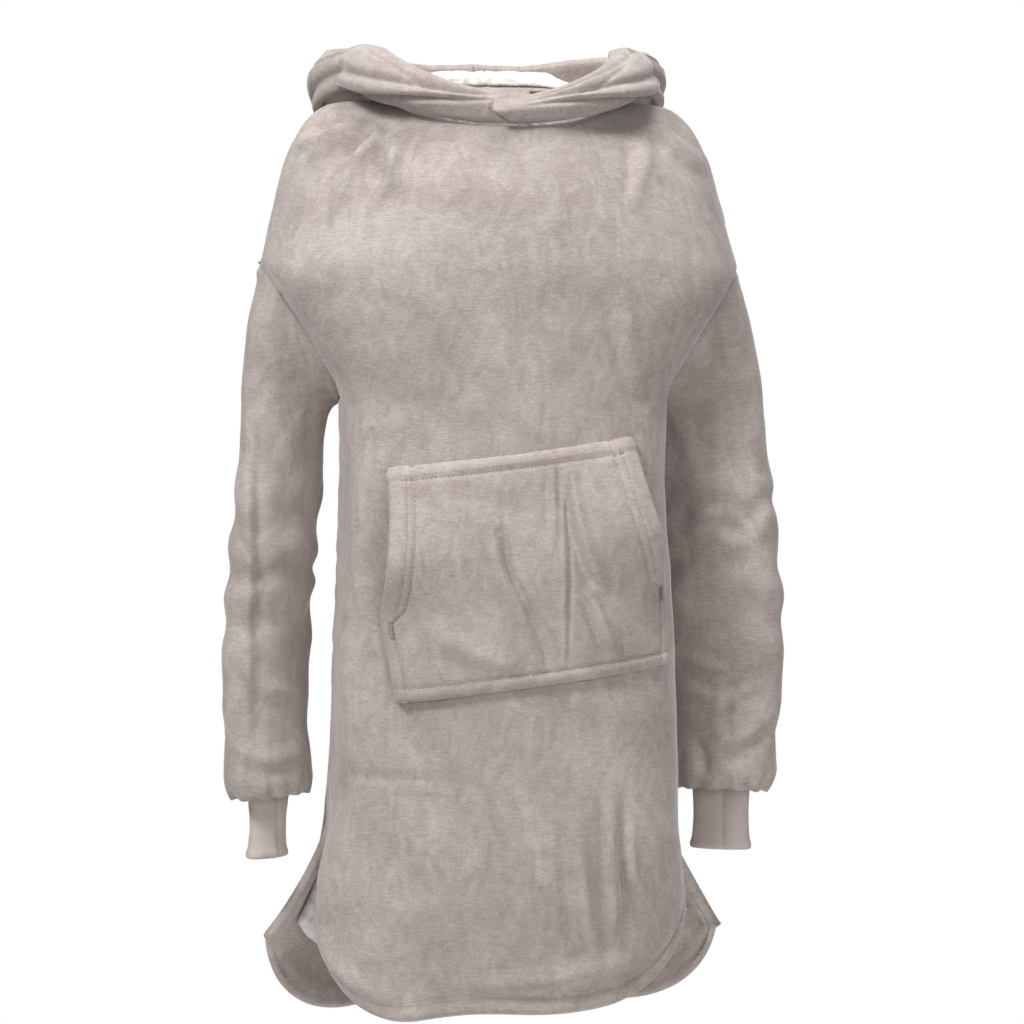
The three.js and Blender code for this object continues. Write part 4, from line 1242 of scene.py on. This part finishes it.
front, front_cut, front_outer, front_n = body_panel(True)
back, back_cut, back_outer, back_n = body_panel(False)
declare(front, "robe_body", ["front_panel"])
declare(back, "robe_body", ["back_panel"])
for is_front, word in ((True, "front"), (False, "back")):
    cloth, cut = (front_outer, front_cut) if is_front else (back_outer, back_cut)
    lining, lining_cut = body_lining(is_front, cloth, cut)
    declare(lining, "robe_body", [f"{word}_lining"])

for side, word in ((-1, "left"), (1, "right")):
    arm = f"{word}_arm"
    middle = ring_middle(side) * MM
    arm_cloth, arm_cut, arm_outer = sleeve(side, word)
    for (piece, cut), node, slot in (
        ((arm_cloth, arm_cut), f"{word}_sleeve", "flannel"),
        (sleeve_lining(side, word, arm_outer, arm_cut), f"{word}_sleeve_lining", "pile"),
    ):
        declare(piece, None, [node])
        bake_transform(piece)
    knitted, knit_cut = cuff(side, word)
    declare(knitted, arm, [f"{word}_cuff"])
    hood_cloth, hood_cut, hood_outer = hood(side, word)
    for (piece, cut), node, slot in (
        ((hood_cloth, hood_cut), f"{word}_hood_panel", "flannel"),
        (hood_lining(side, word, hood_outer, hood_cut), f"{word}_hood_lining", "pile"),
    ):
        declare(piece, None, [node])
        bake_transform(piece)

pouch, pouch_cut, pouch_outer, pouch_n = pocket()
declare(pouch, "robe_body", ["kangaroo_pocket"])

for piece, node, slot in (
    (tape_piece(), "neck_tape", "tape"),
    (loop_piece(), "hanger_loop", "tape"),
    (label_piece("size_label", "size_label_ribbon", 1), "size_label", "label"),
    (label_piece("care_label", "care_label_ribbon", 0), "care_label", "label"),
):
    declare(piece, "robe_body", [node])
tack_piece("left_pocket_tack", "left_bar_tack", -1)
tack_piece("right_pocket_tack", "right_bar_tack", 1)

# rows of stitches, on the grooves that the surfaces already have
P_GRID = np.linspace(-1, 1, 150)[None, :] * np.ones((112, 1))
Q_GRID = np.linspace(0, 1, 112)[:, None] * np.ones((1, 150))
side_edge, top_edge, low_edge = pocket_edges(P_GRID, Q_GRID)
open_part = Q_GRID[:, 0] > POCKET_SEWN_SHARE + 0.03
sewn_part = (Q_GRID[:, 0] < POCKET_SEWN_SHARE) & (Q_GRID[:, 0] > 0.05)
seams = level_line(side_edge, MOUTH_BAND, pouch_outer, pouch_n, open_part & (Q_GRID[:, 0] < 0.95))
seams += level_line(side_edge, MOUTH_BAND - MOUTH_ROWS, pouch_outer, pouch_n, open_part & (Q_GRID[:, 0] < 0.95))
seams += level_line(side_edge, POCKET_BAND, pouch_outer, pouch_n, sewn_part)
across = np.abs(P_GRID[0]) < 0.91
seams += column_line(top_edge, POCKET_BAND, pouch_outer, pouch_n, across)
seams += column_line(low_edge, POCKET_BAND, pouch_outer, pouch_n, across)
stitches("pocket_stitches", seams, "robe_body")
for outer, n, word in ((front_outer, front_n, "front"), (back_outer, back_n, "back")):
    _, _, low, _ = edge_distances(outer)
    hem = column_line(low, HEM_BAND, outer, n, np.abs(np.linspace(-1, 1, PANEL_COLS)) < 0.93)
    stitches(f"{word}_hem_stitches", hem, "robe_body")

# ---------------------------------------------------------------- floor, light and camera
MIDDLE = Vector((0, 0, (cad_box[0].z + cad_box[1].z) / 2))


def floor():
    """A pale disc that melts into the white surroundings at its edge."""
    bpy.ops.mesh.primitive_circle_add(vertices=96, radius=1.7, fill_type="NGON", location=(0, 0, -1.38))
    disc = bpy.context.object
    disc.name = "floor"
    n = Nodes("floor")
    glow = n.add("ShaderNodeEmission")
    glow.inputs["Color"].default_value = (1, 1, 1, 1)
    glow.inputs["Strength"].default_value = 1.0
    n.shader.inputs["Base Color"].default_value = (0.86, 0.86, 0.86, 1)
    n.shader.inputs["Roughness"].default_value = 0.8
    far = n.add("ShaderNodeVectorMath", operation="LENGTH")
    n.link(n.place, far.inputs[0])
    fade = n.add("ShaderNodeMapRange", interpolation_type="SMOOTHSTEP")
    fade.inputs["From Min"].default_value = 0.35
    fade.inputs["From Max"].default_value = 1.6
    n.link(far.outputs["Value"], fade.inputs["Value"])
    both = n.add("ShaderNodeMixShader")
    n.link(fade.outputs["Result"], both.inputs["Fac"])
    n.link(n.shader.outputs["BSDF"], both.inputs[1])
    n.link(glow.outputs["Emission"], both.inputs[2])
    n.link(both.outputs["Shader"], n.tree.nodes["Material Output"].inputs["Surface"])
    disc.data.materials.append(n.material)


def softbox(name, place, size, power_w):
    light = bpy.data.lights.new(name, "AREA")
    light.shape = "RECTANGLE"
    light.size, light.size_y = size
    light.energy = power_w
    lamp = bpy.data.objects.new(name, light)
    bpy.context.scene.collection.objects.link(lamp)
    lamp.location = place
    lamp.rotation_mode = "QUATERNION"
    lamp.rotation_quaternion = (MIDDLE - Vector(place)).to_track_quat("-Z", "Y")


def surroundings():
    """White all round, at full strength for the eye and weaker as a light."""
    world = bpy.data.worlds.new("studio")
    bpy.context.scene.world = world
    world.use_nodes = True
    tree = world.node_tree
    tree.nodes.clear()
    seen, lit = (tree.nodes.new("ShaderNodeBackground") for _ in range(2))
    seen.inputs["Strength"].default_value = 1.0
    lit.inputs["Strength"].default_value = 0.2
    for ground in (seen, lit):
        ground.inputs["Color"].default_value = (1, 1, 1, 1)
    path = tree.nodes.new("ShaderNodeLightPath")
    both = tree.nodes.new("ShaderNodeMixShader")
    tree.links.new(path.outputs["Is Camera Ray"], both.inputs["Fac"])
    tree.links.new(lit.outputs["Background"], both.inputs[1])
    tree.links.new(seen.outputs["Background"], both.inputs[2])
    tree.links.new(both.outputs["Shader"], tree.nodes.new("ShaderNodeOutputWorld").inputs["Surface"])


def camera():
    data = bpy.data.cameras.new("camera")
    eye = bpy.data.objects.new("camera", data)
    bpy.context.scene.collection.objects.link(eye)
    distance, rise = 4.2, math.radians(2)
    span = 1.024
    target = Vector((0.012, -0.02, -0.412))
    level = math.cos(rise)
    back_way = Vector((-math.sin(FRONT_TURN) * level, -math.cos(FRONT_TURN) * level, math.sin(rise)))
    eye.location = target + back_way * distance
    eye.rotation_mode = "QUATERNION"
    eye.rotation_quaternion = (-back_way).to_track_quat("-Z", "Y")
    data.lens = data.sensor_width * distance / span
    bpy.context.scene.camera = eye


floor()
surroundings()
softbox("key", (-1.9, -1.7, 1.9), (0.8, 0.8), 92)
softbox("fill", (0.6, -3.2, 0.1), (1.6, 1.8), 34)
softbox("top", (0.3, -0.5, 2.1), (1.2, 1.2), 40)
softbox("back_rim", (0.0, 2.6, 0.6), (2.2, 2.0), 26)
camera()
scene = bpy.context.scene
scene.view_settings.view_transform = "Standard"
scene.view_settings.look = "None"
